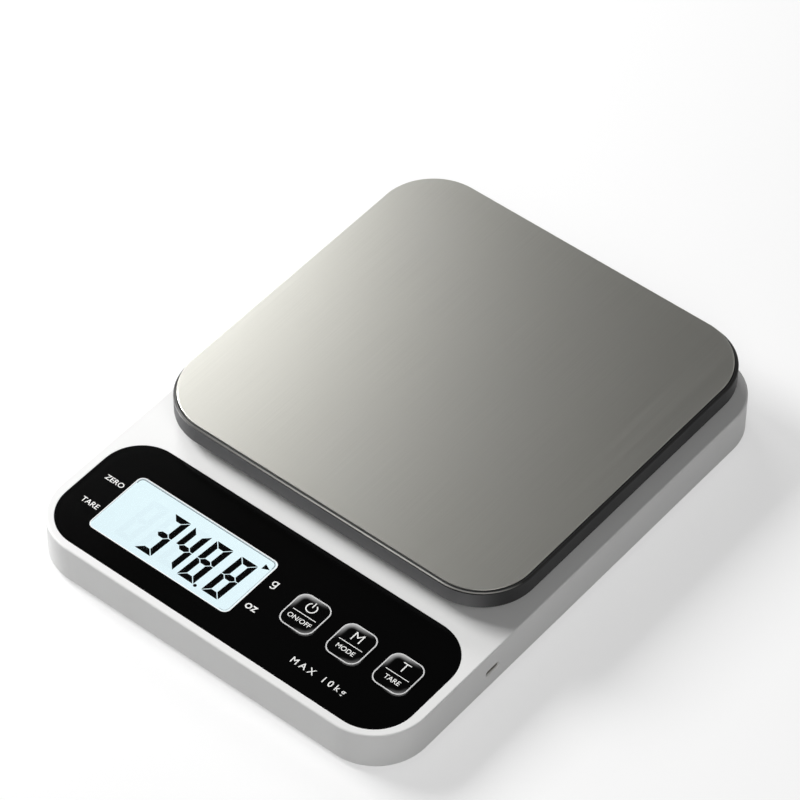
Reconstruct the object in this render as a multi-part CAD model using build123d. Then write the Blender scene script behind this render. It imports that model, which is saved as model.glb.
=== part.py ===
from build123d import *
import os
from math import radians, tan

# Kitchen scale: a flat white casing with a display and three keys at the front, and a steel-topped
# platform carried by one load cell. Millimetres. +Z is up, +Y points to the back, and the origin
# is on the table under the middle of the casing.

# Casing
WALL = 2.2
DECK = 2.2
WALL_HEIGHT = 18.0
CASE_CORNER_RADIUS = 23.5
CASE_TOP_ROUND = 0.8
CASE_BOTTOM_ROUND = 0.5

# Bottom cover, which closes the casing inside its walls
COVER = 2.0
COVER_CLEARANCE = 0.3
COVER_EDGE_ROUND = 0.4

# Rubber feet
FOOT_RADIUS = 8.0
FOOT_PROUD = 2.0
FOOT_SOCKET = 1.0
FOOT_INSET = 24.0
FOOT_CLEARANCE = 0.2
FOOT_EDGE_ROUND = 0.6

# Control panel, a thin plate let into the deck
PANEL_THICKNESS = 0.8
PANEL_SIDE_MARGIN = 4.5
PANEL_FRONT_MARGIN = 3.5
PANEL_CORNER_RADIUS = 18.0
PANEL_CLEARANCE = 0.15

# Display window in the panel
WINDOW_WIDTH = 70.2
WINDOW_DEPTH = 31.9
WINDOW_CORNER_RADIUS = 3.0
WINDOW_LEFT_MARGIN = 16.8
WINDOW_FRONT_MARGIN = 10.6
WINDOW_REAR_MARGIN = 15.5
WINDOW_RECESS = 0.15
WINDOW_CLEARANCE = 0.1
LENS_FLANGE_WIDTH = 3.0
LENS_FLANGE = 0.8
LENS_CLEARANCE = 0.3

# Display stack under the window
GASKET = 0.8
GASKET_REVEAL = 0.3
LCD_MARGIN = 3.0
LCD_GLASS = 2.2
BACKLIGHT = 3.0
LED_WIDTH = 3.0
LED_THICKNESS = 0.7
LED_HEIGHT = 1.8
LED_SPACING = 16.0
PIN_PITCH = 2.54
PIN_WIDTH = 0.5
PIN_THICKNESS = 0.4
PIN_END_MARGIN = 4.0
PIN_TAIL = 1.0
PIN_GRIP = 1.4
PIN_CLEARANCE = 0.15

# Keys, from left to right
KEY_NAMES = ["power", "mode", "tare"]
KEY_WIDTH = 16.0
KEY_DEPTH = 17.5
KEY_CORNER_RADIUS = 4.5
KEY_SPACING = 6.4
KEY_WINDOW_GAP = 15.2
KEY_RIGHT_MARGIN = 8.0
KEY_OFFSET = 2.75
KEY_PROUD = 0.5
KEY_CLEARANCE = 0.25
KEY_EDGE_ROUND = 0.4
KEY_LIP = 0.7
KEY_LIP_WIDTH = 1.0
KEY_LIP_GAP = 0.1
KEY_LIP_CLEARANCE = 0.4
KEY_STEM = 1.0
KEY_STEM_DIAMETER = 4.4

# Key switches
SWITCH_SIZE = 6.2
SWITCH_BODY = 3.4
PLUNGER_DIAMETER = 3.4
PLUNGER_CLEARANCE = 0.2
PLUNGER_SEAT = 0.5
SWITCH_WELL = 1.2

# Main board
BOARD = 1.6
BOARD_LEFT_STRIP = 0.8
BOARD_RIGHT_STRIP = 1.4
BOARD_FRONT_STRIP = 5.0
BOARD_REAR_STRIP = 8.0
BOARD_SCREW_INSET = 3.6
CONTROLLER_SIZE = 10.0
CONTROLLER_HEIGHT = 1.5
CONVERTER_LENGTH = 9.9
CONVERTER_WIDTH = 5.0
CONVERTER_HEIGHT = 1.6
CAPACITOR_RADIUS = 2.0
CAPACITOR_HEIGHT = 4.5
CAPACITOR_SPACING = 6.0
CAPACITOR_COUNT = 3

# Charging board and socket in the right-hand wall
CHARGE_BOARD = 1.2
CHARGE_BOARD_LENGTH = 13.0
CHARGE_BOARD_WIDTH = 14.0
CHARGE_BOARD_GAP = 0.5
CHARGE_SCREW_INSET = 2.7
CHARGE_SCREW_SPACING = 9.2
CHARGER_LENGTH = 3.4
CHARGER_WIDTH = 4.9
CHARGER_HEIGHT = 1.4
SOCKET_WIDTH = 7.4
SOCKET_HEIGHT = 2.4
SOCKET_DEPTH = 5.4
SOCKET_SHELL = 0.3
SOCKET_RADIUS = 0.9
SOCKET_RECESS = 0.6
SOCKET_CLEARANCE = 0.2
SOCKET_BACK = 0.8
TONGUE_WIDTH = 3.8
TONGUE_THICKNESS = 0.7
TONGUE_REACH = 3.4
PORT_DROP = 9.4
PORT_SETBACK = 1.5

# Platform
PANEL_PLATFORM_GAP = 6.5
PLATFORM_LENGTH = 169.8
PLATFORM_REAR_MARGIN = 0.2
PLATFORM_SIDE_MARGIN = 4.8
PLATFORM_GAP = 5.4
PLATFORM_TRAVEL = 0.6
TRAY_HEIGHT = 8.0
TRAY_WALL = 2.0
TRAY_FLOOR = 2.4
TRAY_CORNER_RADIUS = 24.6
TRAY_BEVEL_WIDTH = 1.0
TRAY_BEVEL_DROP = 0.5
TRAY_BOTTOM_ROUND = 0.6
TRAY_BOSS_MARGIN = 3.5
PLATE_THICKNESS = 0.6
PLATE_INSET = 1.9
PLATE_SEAT = 0.6
PLATE_CLEARANCE = 0.45
PLATE_EDGE_ROUND = 0.2
ADHESIVE = 0.2
ADHESIVE_INSET = 3.0
STOP_RADIUS = 4.0
STOP_INSET = 24.0
STOP_CLEARANCE = 0.3

# Load cell, a beam with a two-lobed hole, fixed at its front end
CELL_LENGTH = 64.0
CELL_WIDTH = 14.0
CELL_HEIGHT = 9.0
CELL_PAD = 1.8
CELL_PAD_END = 4.5
CELL_PAD_MARGIN = 3.0
CELL_LOBE = 6.0
CELL_LOBE_SPACING = 12.0
CELL_SLOT = 1.5
CELL_BOLT_INSET = 6.0
CELL_BOLT_SPACING = 11.0
COAT = 1.0
COAT_END_GAP = 1.0
COAT_INSET = 1.5
SPACER_OVERHANG = 5.0
SPACER_PORT_CLEARANCE = 3.0

# Battery
BATTERY_WIDTH = 30.0
BATTERY_LENGTH = 50.0
BATTERY_THICKNESS = 6.0
BATTERY_ROUND = 2.0
BATTERY_SIDE_GAP = 17.0
BATTERY_BOARD_GAP = 42.0
TAPE = 0.5
TAPE_INSET = 3.0

# Leads
LEAD_DIAMETER = 1.0
LEAD_SPACING = 1.6
LEAD_SOLDER_LENGTH = 2.0
LEAD_ARC_SHARE = 0.45
CELL_LEAD_COUNT = 4
LEAD_SOCKET_DEPTH = 6.0
LEAD_SOCKET_MARGIN = 1.6

# Self-tapping screws in the plastic, and the machine bolts of the load cell
SCREW_DIAMETER = 2.6
SCREW_HEAD_DIAMETER = 5.0
SCREW_HEAD = 1.6
SCREW_SEAT = 2.0
SCREW_SINK = 0.3
SCREW_GRIP = 6.0
SCREW_CLEARANCE = 0.1
SCREW_HEAD_CLEARANCE = 0.25
BOSS_WALL = 1.9
BOSS_FLOOR = 0.6
HOUSING_SCREW_SIDE_INSET = 10.0
HOUSING_SCREW_END_INSET = 19.0
BOARD_SCREW_GRIP = 3.6
CHARGE_SCREW_DIAMETER = 2.0
CHARGE_SCREW_HEAD_DIAMETER = 3.8
BOLT_DIAMETER = 4.0
BOLT_HEAD_DIAMETER = 7.0
BOLT_HEAD = 2.0
BOLT_SINK = 0.1
BOLT_SEAT = 2.3
BOLT_GRIP = 7.0
BOLT_CLEARANCE = 0.15
BOLT_HEAD_CLEARANCE = 0.25
CROSS_SLOT = 0.8
CROSS_DEPTH = 0.8
CROSS_MARGIN = 0.8

# Plan of the panel, the casing and the platform
key_pitch = KEY_WIDTH + KEY_SPACING
key_row = KEY_WIDTH + key_pitch * (len(KEY_NAMES) - 1)
panel_width = WINDOW_LEFT_MARGIN + WINDOW_WIDTH + KEY_WINDOW_GAP + key_row + KEY_RIGHT_MARGIN
panel_depth = WINDOW_FRONT_MARGIN + WINDOW_DEPTH + WINDOW_REAR_MARGIN
case_width = panel_width + 2 * PANEL_SIDE_MARGIN
case_length = (PANEL_FRONT_MARGIN + panel_depth + PANEL_PLATFORM_GAP
               + PLATFORM_LENGTH + PLATFORM_REAR_MARGIN)
case_right = case_width / 2
case_front = -case_length / 2
case_rear = case_length / 2
panel_front = case_front + PANEL_FRONT_MARGIN
panel_rear = panel_front + panel_depth
panel_y = (panel_front + panel_rear) / 2
platform_width = case_width - 2 * PLATFORM_SIDE_MARGIN
platform_y = case_rear - PLATFORM_REAR_MARGIN - PLATFORM_LENGTH / 2
window_x = -panel_width / 2 + WINDOW_LEFT_MARGIN + WINDOW_WIDTH / 2
window_y = panel_front + WINDOW_FRONT_MARGIN + WINDOW_DEPTH / 2
key_y = window_y + KEY_OFFSET
key_last_x = panel_width / 2 - KEY_RIGHT_MARGIN - KEY_WIDTH / 2
key_xs = [key_last_x - key_pitch * (len(KEY_NAMES) - 1 - i) for i in range(len(KEY_NAMES))]

# Heights of the casing and the display stack
cover_bottom = FOOT_PROUD
cover_top = cover_bottom + COVER
deck_top = FOOT_PROUD + WALL_HEIGHT
deck_under = deck_top - DECK
panel_under = deck_top - PANEL_THICKNESS
flange_bottom = panel_under - LENS_FLANGE
lcd_top = flange_bottom - GASKET
lcd_bottom = lcd_top - LCD_GLASS
board_top = lcd_bottom - BACKLIGHT
board_under = board_top - BOARD
lip_top = panel_under - KEY_LIP_GAP
lip_bottom = lip_top - KEY_LIP
plunger_top = lip_bottom - KEY_STEM
switch_top = board_top + SWITCH_BODY

# Plan of the display stack and the main board
lcd_width = WINDOW_WIDTH + 2 * LCD_MARGIN
lcd_depth = WINDOW_DEPTH + 2 * LCD_MARGIN
lcd_left = window_x - lcd_width / 2
lcd_right = window_x + lcd_width / 2
lcd_front = window_y - lcd_depth / 2
lcd_rear = window_y + lcd_depth / 2
board_left = lcd_left - LED_THICKNESS - BOARD_LEFT_STRIP
board_right = key_last_x + SWITCH_SIZE / 2 + BOARD_RIGHT_STRIP
board_front = lcd_front - BOARD_FRONT_STRIP
board_rear = lcd_rear + BOARD_REAR_STRIP
board_width = board_right - board_left
board_depth = board_rear - board_front
board_x = (board_left + board_right) / 2
board_y = (board_front + board_rear) / 2
boss_radius = SCREW_DIAMETER / 2 + SCREW_CLEARANCE + BOSS_WALL
middle_x = (lcd_right + key_xs[0] - KEY_WIDTH / 2) / 2
board_screws = [
    (board_left + BOARD_SCREW_INSET, board_rear - BOARD_SCREW_INSET),
    (board_right - BOARD_SCREW_INSET, board_rear - BOARD_SCREW_INSET),
    (board_right - BOARD_SCREW_INSET, board_front + BOARD_SCREW_INSET),
    (middle_x, board_front + BOARD_SCREW_INSET),
]
pin_run = lcd_width - 2 * PIN_END_MARGIN
pin_count = int(pin_run / PIN_PITCH) + 1
pin_xs = [window_x + (i - (pin_count - 1) / 2) * PIN_PITCH for i in range(pin_count)]
pin_y = lcd_front - PIN_THICKNESS / 2

# Charging socket and its board
port_y = panel_rear + PORT_SETBACK
port_z = deck_top - PORT_DROP
charge_board_top = port_z - SOCKET_HEIGHT / 2
charge_board_under = charge_board_top - CHARGE_BOARD
charge_board_right = case_right - WALL - CHARGE_BOARD_GAP
charge_board_left = charge_board_right - CHARGE_BOARD_LENGTH
socket_mouth = case_right - SOCKET_RECESS
socket_end = socket_mouth - SOCKET_DEPTH
charge_boss_radius = CHARGE_SCREW_DIAMETER / 2 + SCREW_CLEARANCE + BOSS_WALL
charge_screws = [(charge_board_left + CHARGE_SCREW_INSET, port_y + side * CHARGE_SCREW_SPACING / 2)
                 for side in (-1, 1)]

# Screws that join the casing and its cover
screw_seat = cover_bottom + SCREW_HEAD + SCREW_SINK
cover_boss_top = screw_seat + SCREW_SEAT
housing_screw_x = case_right - HOUSING_SCREW_SIDE_INSET
housing_screw_y = case_rear - HOUSING_SCREW_END_INSET
housing_screws = [(side * housing_screw_x, row * housing_screw_y)
                  for row in (-1, 0, 1) for side in (-1, 1)]
foot_x = case_right - FOOT_INSET
foot_y = case_rear - FOOT_INSET
feet = [(side * foot_x, end * foot_y) for end in (-1, 1) for side in (-1, 1)]

# Heights of the load cell and the platform
cell_bottom = cover_top + CELL_PAD
cell_top = cell_bottom + CELL_HEIGHT
tray_bottom = deck_top + PLATFORM_GAP
tray_top = tray_bottom + TRAY_HEIGHT
plate_floor = tray_top - PLATE_SEAT
tray_floor_under = plate_floor - TRAY_FLOOR
plate_bottom = plate_floor + ADHESIVE
plate_top = plate_bottom + PLATE_THICKNESS
platform_bolt_seat = plate_floor - BOLT_HEAD - BOLT_SINK
spacer_top = platform_bolt_seat - BOLT_SEAT
cell_bolt_seat = cover_bottom + BOLT_HEAD + BOLT_SINK
stop_bottom = deck_top + PLATFORM_TRAVEL + STOP_CLEARANCE

# Plan of the load cell, the spacer and the battery
cell_front = platform_y - CELL_LENGTH / 2
cell_pad_length = CELL_BOLT_INSET + CELL_BOLT_SPACING + CELL_PAD_END
cell_rear = platform_y + CELL_LENGTH / 2
cell_bolt_ys = [cell_front + CELL_BOLT_INSET, cell_front + CELL_BOLT_INSET + CELL_BOLT_SPACING]
platform_bolt_ys = [cell_rear - CELL_BOLT_INSET, cell_rear - CELL_BOLT_INSET - CELL_BOLT_SPACING]
spacer_y = sum(platform_bolt_ys) / 2
spacer_length = CELL_BOLT_SPACING + 2 * SPACER_OVERHANG
battery_x = case_right - BATTERY_SIDE_GAP - BATTERY_WIDTH / 2
battery_front = board_rear + BATTERY_BOARD_GAP
battery_y = battery_front + BATTERY_LENGTH / 2
battery_bottom = cover_top + TAPE
battery_middle = battery_bottom + BATTERY_THICKNESS / 2
cell_clamp = CELL_BOLT_INSET + CELL_BOLT_SPACING + max(CELL_PAD_END, SPACER_OVERHANG)
coat_length = CELL_LENGTH - 2 * (cell_clamp + COAT_END_GAP)
coat_front = platform_y - coat_length / 2
cell_lead_z = cell_top + LEAD_DIAMETER / 2
lead_socket_width = (CELL_LEAD_COUNT - 1) * LEAD_SPACING + LEAD_DIAMETER + 2 * LEAD_SOCKET_MARGIN


def block(width, depth, bottom, top, x=0.0, y=0.0):
    """A square-edged block between two heights."""
    return extrude(Pos(x, y, bottom) * Rectangle(width, depth), amount=top - bottom)


def rounded_block(width, depth, radius, bottom, top, x=0.0, y=0.0):
    """A block with rounded corners in plan, between two heights."""
    return extrude(Pos(x, y, bottom) * RectangleRounded(width, depth, radius), amount=top - bottom)


def disc(radius, bottom, top, x=0.0, y=0.0):
    """An upright round bar between two heights."""
    return extrude(Pos(x, y, bottom) * Circle(radius), amount=top - bottom)


def side_block(width, height, radius, inner, outer, y, z):
    """A rounded slot shape facing +X, between two distances from the middle of the casing."""
    face = Plane(origin=(inner, y, z), x_dir=(0, 1, 0), z_dir=(1, 0, 0))
    return extrude(face * RectangleRounded(width, height, radius), amount=outer - inner)


def top_edges(shape):
    """The edges of a shape's highest face."""
    return shape.edges().group_by(Axis.Z)[-1]


def bottom_edges(shape):
    """The edges of a shape's lowest face."""
    return shape.edges().group_by(Axis.Z)[0]


def group(solids):
    """Like pieces kept as separate solids in one node."""
    return Compound(children=list(solids))


def screw(x, y, seat, tip, diameter, head_diameter, head_height):
    """A pan-head screw with a cross recess, from the seat of its head to its tip."""
    away = 1 if seat > tip else -1
    crown = seat + away * head_height
    shank = disc(diameter / 2, min(seat, tip), max(seat, tip), x, y)
    head = disc(head_diameter / 2, min(seat, crown), max(seat, crown), x, y)
    rim = top_edges(head) if away > 0 else bottom_edges(head)
    head = fillet(rim, head_height / 2)
    arm = head_diameter - 2 * CROSS_MARGIN
    floor = crown - away * CROSS_DEPTH
    low, high = min(crown, floor), max(crown, floor)
    cross = block(arm, CROSS_SLOT, low, high, x, y) + block(CROSS_SLOT, arm, low, high, x, y)
    return head + shank - cross


def lead(points):
    """A round lead on straight runs and tangent arcs, each arc as wide as its two runs allow."""
    corners = [Vector(*p) for p in points]
    radii = []
    for before, at, after in zip(corners, corners[1:], corners[2:]):
        turn = (at - before).get_angle(after - at)
        shorter = min((at - before).length, (after - at).length)
        radii.append(LEAD_ARC_SHARE * shorter / tan(radians(turn / 2)))
    path = FilletPolyline(*points, radius=radii)
    section = Plane(origin=path @ 0, z_dir=path % 0) * Circle(LEAD_DIAMETER / 2)
    return sweep(section, path=path)


def upper_housing():
    """Deck and walls in one moulding, with the panel's seat, its openings and the screw bosses."""
    body = rounded_block(case_width, case_length, CASE_CORNER_RADIUS, cover_bottom, deck_top)
    body = fillet(top_edges(body), CASE_TOP_ROUND)
    body = fillet(bottom_edges(body), CASE_BOTTOM_ROUND)
    body -= rounded_block(case_width - 2 * WALL, case_length - 2 * WALL, CASE_CORNER_RADIUS - WALL,
                          cover_bottom, deck_under)
    body -= rounded_block(panel_width + 2 * PANEL_CLEARANCE, panel_depth + 2 * PANEL_CLEARANCE,
                          PANEL_CORNER_RADIUS + PANEL_CLEARANCE, panel_under, deck_top, 0, panel_y)
    flange_room = 2 * (LENS_FLANGE_WIDTH + LENS_CLEARANCE)
    body -= rounded_block(WINDOW_WIDTH + flange_room, WINDOW_DEPTH + flange_room,
                          WINDOW_CORNER_RADIUS + LENS_FLANGE_WIDTH, deck_under, deck_top,
                          window_x, window_y)
    lip_room = 2 * (KEY_LIP_WIDTH + KEY_LIP_CLEARANCE)
    for x in key_xs:
        body -= rounded_block(KEY_WIDTH + lip_room, KEY_DEPTH + lip_room,
                              KEY_CORNER_RADIUS + KEY_LIP_WIDTH, deck_under, deck_top, x, key_y)
    body -= block(CELL_WIDTH + 2 * SPACER_PORT_CLEARANCE, spacer_length + 2 * SPACER_PORT_CLEARANCE,
                  deck_under, deck_top, 0, spacer_y)
    body -= side_block(SOCKET_WIDTH + 2 * SOCKET_CLEARANCE, SOCKET_HEIGHT + 2 * SOCKET_CLEARANCE,
                       SOCKET_RADIUS + SOCKET_CLEARANCE, case_right - 2 * WALL, case_right, port_y, port_z)
    pilot = SCREW_DIAMETER / 2 + SCREW_CLEARANCE
    for x, y in housing_screws:
        body += disc(boss_radius, cover_boss_top, deck_under, x, y)
        body -= disc(pilot, cover_boss_top, cover_boss_top + SCREW_GRIP + BOSS_FLOOR, x, y)
    for x, y in board_screws:
        body += disc(boss_radius, board_top, deck_under, x, y)
        body -= disc(pilot, board_top, board_top + BOARD_SCREW_GRIP + BOSS_FLOOR, x, y)
    charge_pilot = CHARGE_SCREW_DIAMETER / 2 + SCREW_CLEARANCE
    for x, y in charge_screws:
        body += disc(charge_boss_radius, charge_board_top, deck_under, x, y)
        body -= disc(charge_pilot, charge_board_top, charge_board_top + BOARD_SCREW_GRIP + BOSS_FLOOR, x, y)
    return body


def bottom_cover():
    """Floor of the casing, with foot sockets, sunk screw seats and the load cell's pad."""
    inset = 2 * (WALL + COVER_CLEARANCE)
    cover = rounded_block(case_width - inset, case_length - inset,
                          CASE_CORNER_RADIUS - WALL - COVER_CLEARANCE, cover_bottom, cover_top)
    cover = fillet(bottom_edges(cover), COVER_EDGE_ROUND)
    cover += block(CELL_WIDTH + 2 * CELL_PAD_MARGIN, cell_pad_length, cover_top, cell_bottom,
                   0, cell_front + cell_pad_length / 2)
    sink_radius = SCREW_HEAD_DIAMETER / 2 + SCREW_HEAD_CLEARANCE
    for x, y in housing_screws:
        cover += disc(sink_radius + BOSS_WALL / 2, cover_top, cover_boss_top, x, y)
        cover -= disc(sink_radius, cover_bottom, screw_seat, x, y)
        cover -= disc(SCREW_DIAMETER / 2 + SCREW_CLEARANCE, screw_seat, cover_boss_top, x, y)
    for y in cell_bolt_ys:
        cover -= disc(BOLT_HEAD_DIAMETER / 2 + BOLT_HEAD_CLEARANCE, cover_bottom, cell_bolt_seat, 0, y)
        cover -= disc(BOLT_DIAMETER / 2 + BOLT_CLEARANCE, cell_bolt_seat, cell_bottom, 0, y)
    for x, y in feet:
        cover -= disc(FOOT_RADIUS + FOOT_CLEARANCE, cover_bottom, cover_bottom + FOOT_SOCKET, x, y)
    return cover


def rubber_feet():
    """Four rubber discs pressed into the cover's sockets."""
    solids = []
    for x, y in feet:
        foot = disc(FOOT_RADIUS, 0, cover_bottom + FOOT_SOCKET, x, y)
        solids.append(fillet(bottom_edges(foot), FOOT_EDGE_ROUND))
    return group(solids)


def control_panel():
    """Black plate flush with the deck, cut out for the window and the keys."""
    panel = rounded_block(panel_width, panel_depth, PANEL_CORNER_RADIUS, panel_under, deck_top, 0, panel_y)
    panel -= rounded_block(WINDOW_WIDTH, WINDOW_DEPTH, WINDOW_CORNER_RADIUS,
                           panel_under, deck_top, window_x, window_y)
    for x in key_xs:
        panel -= rounded_block(KEY_WIDTH + 2 * KEY_CLEARANCE, KEY_DEPTH + 2 * KEY_CLEARANCE,
                               KEY_CORNER_RADIUS + KEY_CLEARANCE, panel_under, deck_top, x, key_y)
    return panel


def display_window():
    """Clear lens that fills the panel's window from below, held by a flange."""
    lens = rounded_block(WINDOW_WIDTH - 2 * WINDOW_CLEARANCE, WINDOW_DEPTH - 2 * WINDOW_CLEARANCE,
                         WINDOW_CORNER_RADIUS - WINDOW_CLEARANCE, flange_bottom,
                         deck_top - WINDOW_RECESS, window_x, window_y)
    return lens + rounded_block(WINDOW_WIDTH + 2 * LENS_FLANGE_WIDTH, WINDOW_DEPTH + 2 * LENS_FLANGE_WIDTH,
                                WINDOW_CORNER_RADIUS + LENS_FLANGE_WIDTH, flange_bottom, panel_under,
                                window_x, window_y)


def lcd_gasket():
    """Foam frame between the lens and the display glass."""
    frame = rounded_block(WINDOW_WIDTH + 2 * LENS_FLANGE_WIDTH, WINDOW_DEPTH + 2 * LENS_FLANGE_WIDTH,
                          WINDOW_CORNER_RADIUS + LENS_FLANGE_WIDTH, lcd_top, flange_bottom,
                          window_x, window_y)
    return frame - rounded_block(WINDOW_WIDTH + 2 * GASKET_REVEAL, WINDOW_DEPTH + 2 * GASKET_REVEAL,
                                 WINDOW_CORNER_RADIUS, lcd_top, flange_bottom, window_x, window_y)


def lcd_glass():
    """Display cell, two bonded sheets of glass."""
    return block(lcd_width, lcd_depth, lcd_bottom, lcd_top, window_x, window_y)


def lcd_pins():
    """Row of display pins along the front edge of the glass, down through the board."""
    return group(block(PIN_WIDTH, PIN_THICKNESS, board_under - PIN_TAIL, lcd_bottom + PIN_GRIP, x, pin_y)
                 for x in pin_xs)


def backlight_guide():
    """Light guide that fills the space between the display glass and the board."""
    return block(lcd_width, lcd_depth, board_top, lcd_bottom, window_x, window_y)


def backlight_leds():
    """Two white lamps at the left end of the light guide."""
    return group(block(LED_THICKNESS, LED_WIDTH, board_top, board_top + LED_HEIGHT,
                       lcd_left - LED_THICKNESS / 2, window_y + side * LED_SPACING / 2)
                 for side in (-1, 1))


def main_board():
    """Circuit board under the display and the keys, hung from the deck's bosses."""
    board = block(board_width, board_depth, board_under, board_top, board_x, board_y)
    for x, y in board_screws:
        board -= disc(SCREW_DIAMETER / 2 + SCREW_CLEARANCE, board_under, board_top, x, y)
    for x in pin_xs:
        board -= block(PIN_WIDTH + 2 * PIN_CLEARANCE, PIN_THICKNESS + 2 * PIN_CLEARANCE,
                       board_under, board_top, x, pin_y)
    return board


def controller_chip():
    """Display and counting controller under the board."""
    return block(CONTROLLER_SIZE, CONTROLLER_SIZE, board_under - CONTROLLER_HEIGHT, board_under,
                 window_x, window_y)


def converter_chip():
    """Load cell converter under the board, between the display and the keys."""
    return block(CONVERTER_WIDTH, CONVERTER_LENGTH, board_under - CONVERTER_HEIGHT, board_under,
                 middle_x, key_y)


def board_capacitors():
    """Row of small can capacitors under the board."""
    return group(disc(CAPACITOR_RADIUS, board_under - CAPACITOR_HEIGHT, board_under,
                      key_xs[0] + CAPACITOR_SPACING * (i + 1), key_y)
                 for i in range(CAPACITOR_COUNT))


def lead_socket():
    """Socket on the board for the load cell's leads."""
    return block(lead_socket_width, LEAD_SOCKET_DEPTH, board_top, cell_lead_z + LEAD_SOCKET_MARGIN,
                 middle_x, board_rear - LEAD_SOCKET_DEPTH / 2)


def switch_bodies():
    """One key switch under each key, with a well for its plunger."""
    well_radius = PLUNGER_DIAMETER / 2 + PLUNGER_CLEARANCE
    return group(block(SWITCH_SIZE, SWITCH_SIZE, board_top, switch_top, x, key_y)
                 - disc(well_radius, switch_top - SWITCH_WELL, switch_top, x, key_y) for x in key_xs)


def switch_plunger(x):
    """Round plunger of a key switch, standing in the switch's well."""
    return disc(PLUNGER_DIAMETER / 2, switch_top - PLUNGER_SEAT, plunger_top, x, key_y)


def key_cap(x):
    """Key that stands a little proud of the panel, with a lip that the panel holds down."""
    cap = rounded_block(KEY_WIDTH, KEY_DEPTH, KEY_CORNER_RADIUS, lip_bottom, deck_top + KEY_PROUD, x, key_y)
    cap = fillet(top_edges(cap), KEY_EDGE_ROUND)
    cap += rounded_block(KEY_WIDTH + 2 * KEY_LIP_WIDTH, KEY_DEPTH + 2 * KEY_LIP_WIDTH,
                         KEY_CORNER_RADIUS + KEY_LIP_WIDTH, lip_bottom, lip_top, x, key_y)
    return cap + disc(KEY_STEM_DIAMETER / 2, plunger_top, lip_bottom, x, key_y)


def charge_board():
    """Small board that carries the charging socket, hung from two bosses."""
    board = block(CHARGE_BOARD_LENGTH, CHARGE_BOARD_WIDTH, charge_board_under, charge_board_top,
                  (charge_board_left + charge_board_right) / 2, port_y)
    for x, y in charge_screws:
        board -= disc(CHARGE_SCREW_DIAMETER / 2 + SCREW_CLEARANCE, charge_board_under, charge_board_top, x, y)
    return board


def charge_socket():
    """Metal shell of the charging socket, open towards the wall."""
    shell = side_block(SOCKET_WIDTH, SOCKET_HEIGHT, SOCKET_RADIUS, socket_end, socket_mouth, port_y, port_z)
    return shell - side_block(SOCKET_WIDTH - 2 * SOCKET_SHELL, SOCKET_HEIGHT - 2 * SOCKET_SHELL,
                              SOCKET_RADIUS - SOCKET_SHELL, socket_end, socket_mouth, port_y, port_z)


def socket_tongue():
    """Plastic core that closes the back of the socket and carries the contact tongue."""
    core = side_block(SOCKET_WIDTH - 2 * SOCKET_SHELL, SOCKET_HEIGHT - 2 * SOCKET_SHELL,
                      SOCKET_RADIUS - SOCKET_SHELL, socket_end, socket_end + SOCKET_BACK, port_y, port_z)
    back = socket_end + SOCKET_BACK
    return core + block(TONGUE_REACH, TONGUE_WIDTH, port_z, port_z + TONGUE_THICKNESS,
                        back + TONGUE_REACH / 2, port_y)


def charger_chip():
    """Battery charger on the charging board, behind the socket."""
    return block(CHARGER_LENGTH, CHARGER_WIDTH, charge_board_under - CHARGER_HEIGHT, charge_board_under,
                 socket_end - CHARGER_LENGTH / 2, port_y)


def battery_tape():
    """Double-sided foam tape under the battery."""
    return block(BATTERY_WIDTH - 2 * TAPE_INSET, BATTERY_LENGTH - 2 * TAPE_INSET, cover_top, battery_bottom,
                 battery_x, battery_y)


def battery_cell():
    """Rechargeable pouch cell taped to the bottom cover."""
    cell = block(BATTERY_WIDTH, BATTERY_LENGTH, battery_bottom, battery_bottom + BATTERY_THICKNESS,
                 battery_x, battery_y)
    return fillet(cell.edges().filter_by(Axis.Y), BATTERY_ROUND)


def load_cell():
    """Aluminium beam with a two-lobed hole through its middle and a bolt hole pair at each end."""
    beam = block(CELL_WIDTH, CELL_LENGTH, cell_bottom, cell_top, 0, platform_y)
    middle = (cell_bottom + cell_top) / 2
    across = Plane(origin=(-CELL_WIDTH / 2, platform_y, middle), x_dir=(0, 1, 0), z_dir=(1, 0, 0))
    lobes = Rectangle(CELL_LOBE_SPACING, CELL_SLOT)
    for side in (-1, 1):
        lobes += Pos(side * CELL_LOBE_SPACING / 2, 0) * Circle(CELL_LOBE / 2)
    beam -= extrude(across * lobes, amount=CELL_WIDTH)
    for y in cell_bolt_ys + platform_bolt_ys:
        beam -= disc(BOLT_DIAMETER / 2 + BOLT_CLEARANCE, cell_bottom, cell_top, 0, y)
    return beam


def gauge_coats():
    """Soft coats over the strain gauges, on top of the beam and under it."""
    width = CELL_WIDTH - 2 * COAT_INSET
    return group([block(width, coat_length, cell_top, cell_top + COAT, 0, platform_y),
                  block(width, coat_length, cell_bottom - COAT, cell_bottom, 0, platform_y)])


def cell_bolts():
    """Two bolts from below that fix the front end of the load cell to the cover."""
    return group(screw(0, y, cell_bolt_seat, cell_bottom + BOLT_GRIP,
                       BOLT_DIAMETER, BOLT_HEAD_DIAMETER, BOLT_HEAD) for y in cell_bolt_ys)


def platform_spacer():
    """Metal block between the rear end of the load cell and the tray, through the deck."""
    spacer = block(CELL_WIDTH, spacer_length, cell_top, spacer_top, 0, spacer_y)
    for y in platform_bolt_ys:
        spacer -= disc(BOLT_DIAMETER / 2 + BOLT_CLEARANCE, cell_top, spacer_top, 0, y)
    return spacer


def platform_bolts():
    """Two bolts from above that hold the tray and the spacer to the load cell."""
    return group(screw(0, y, platform_bolt_seat, cell_top - BOLT_GRIP,
                       BOLT_DIAMETER, BOLT_HEAD_DIAMETER, BOLT_HEAD) for y in platform_bolt_ys)


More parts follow.
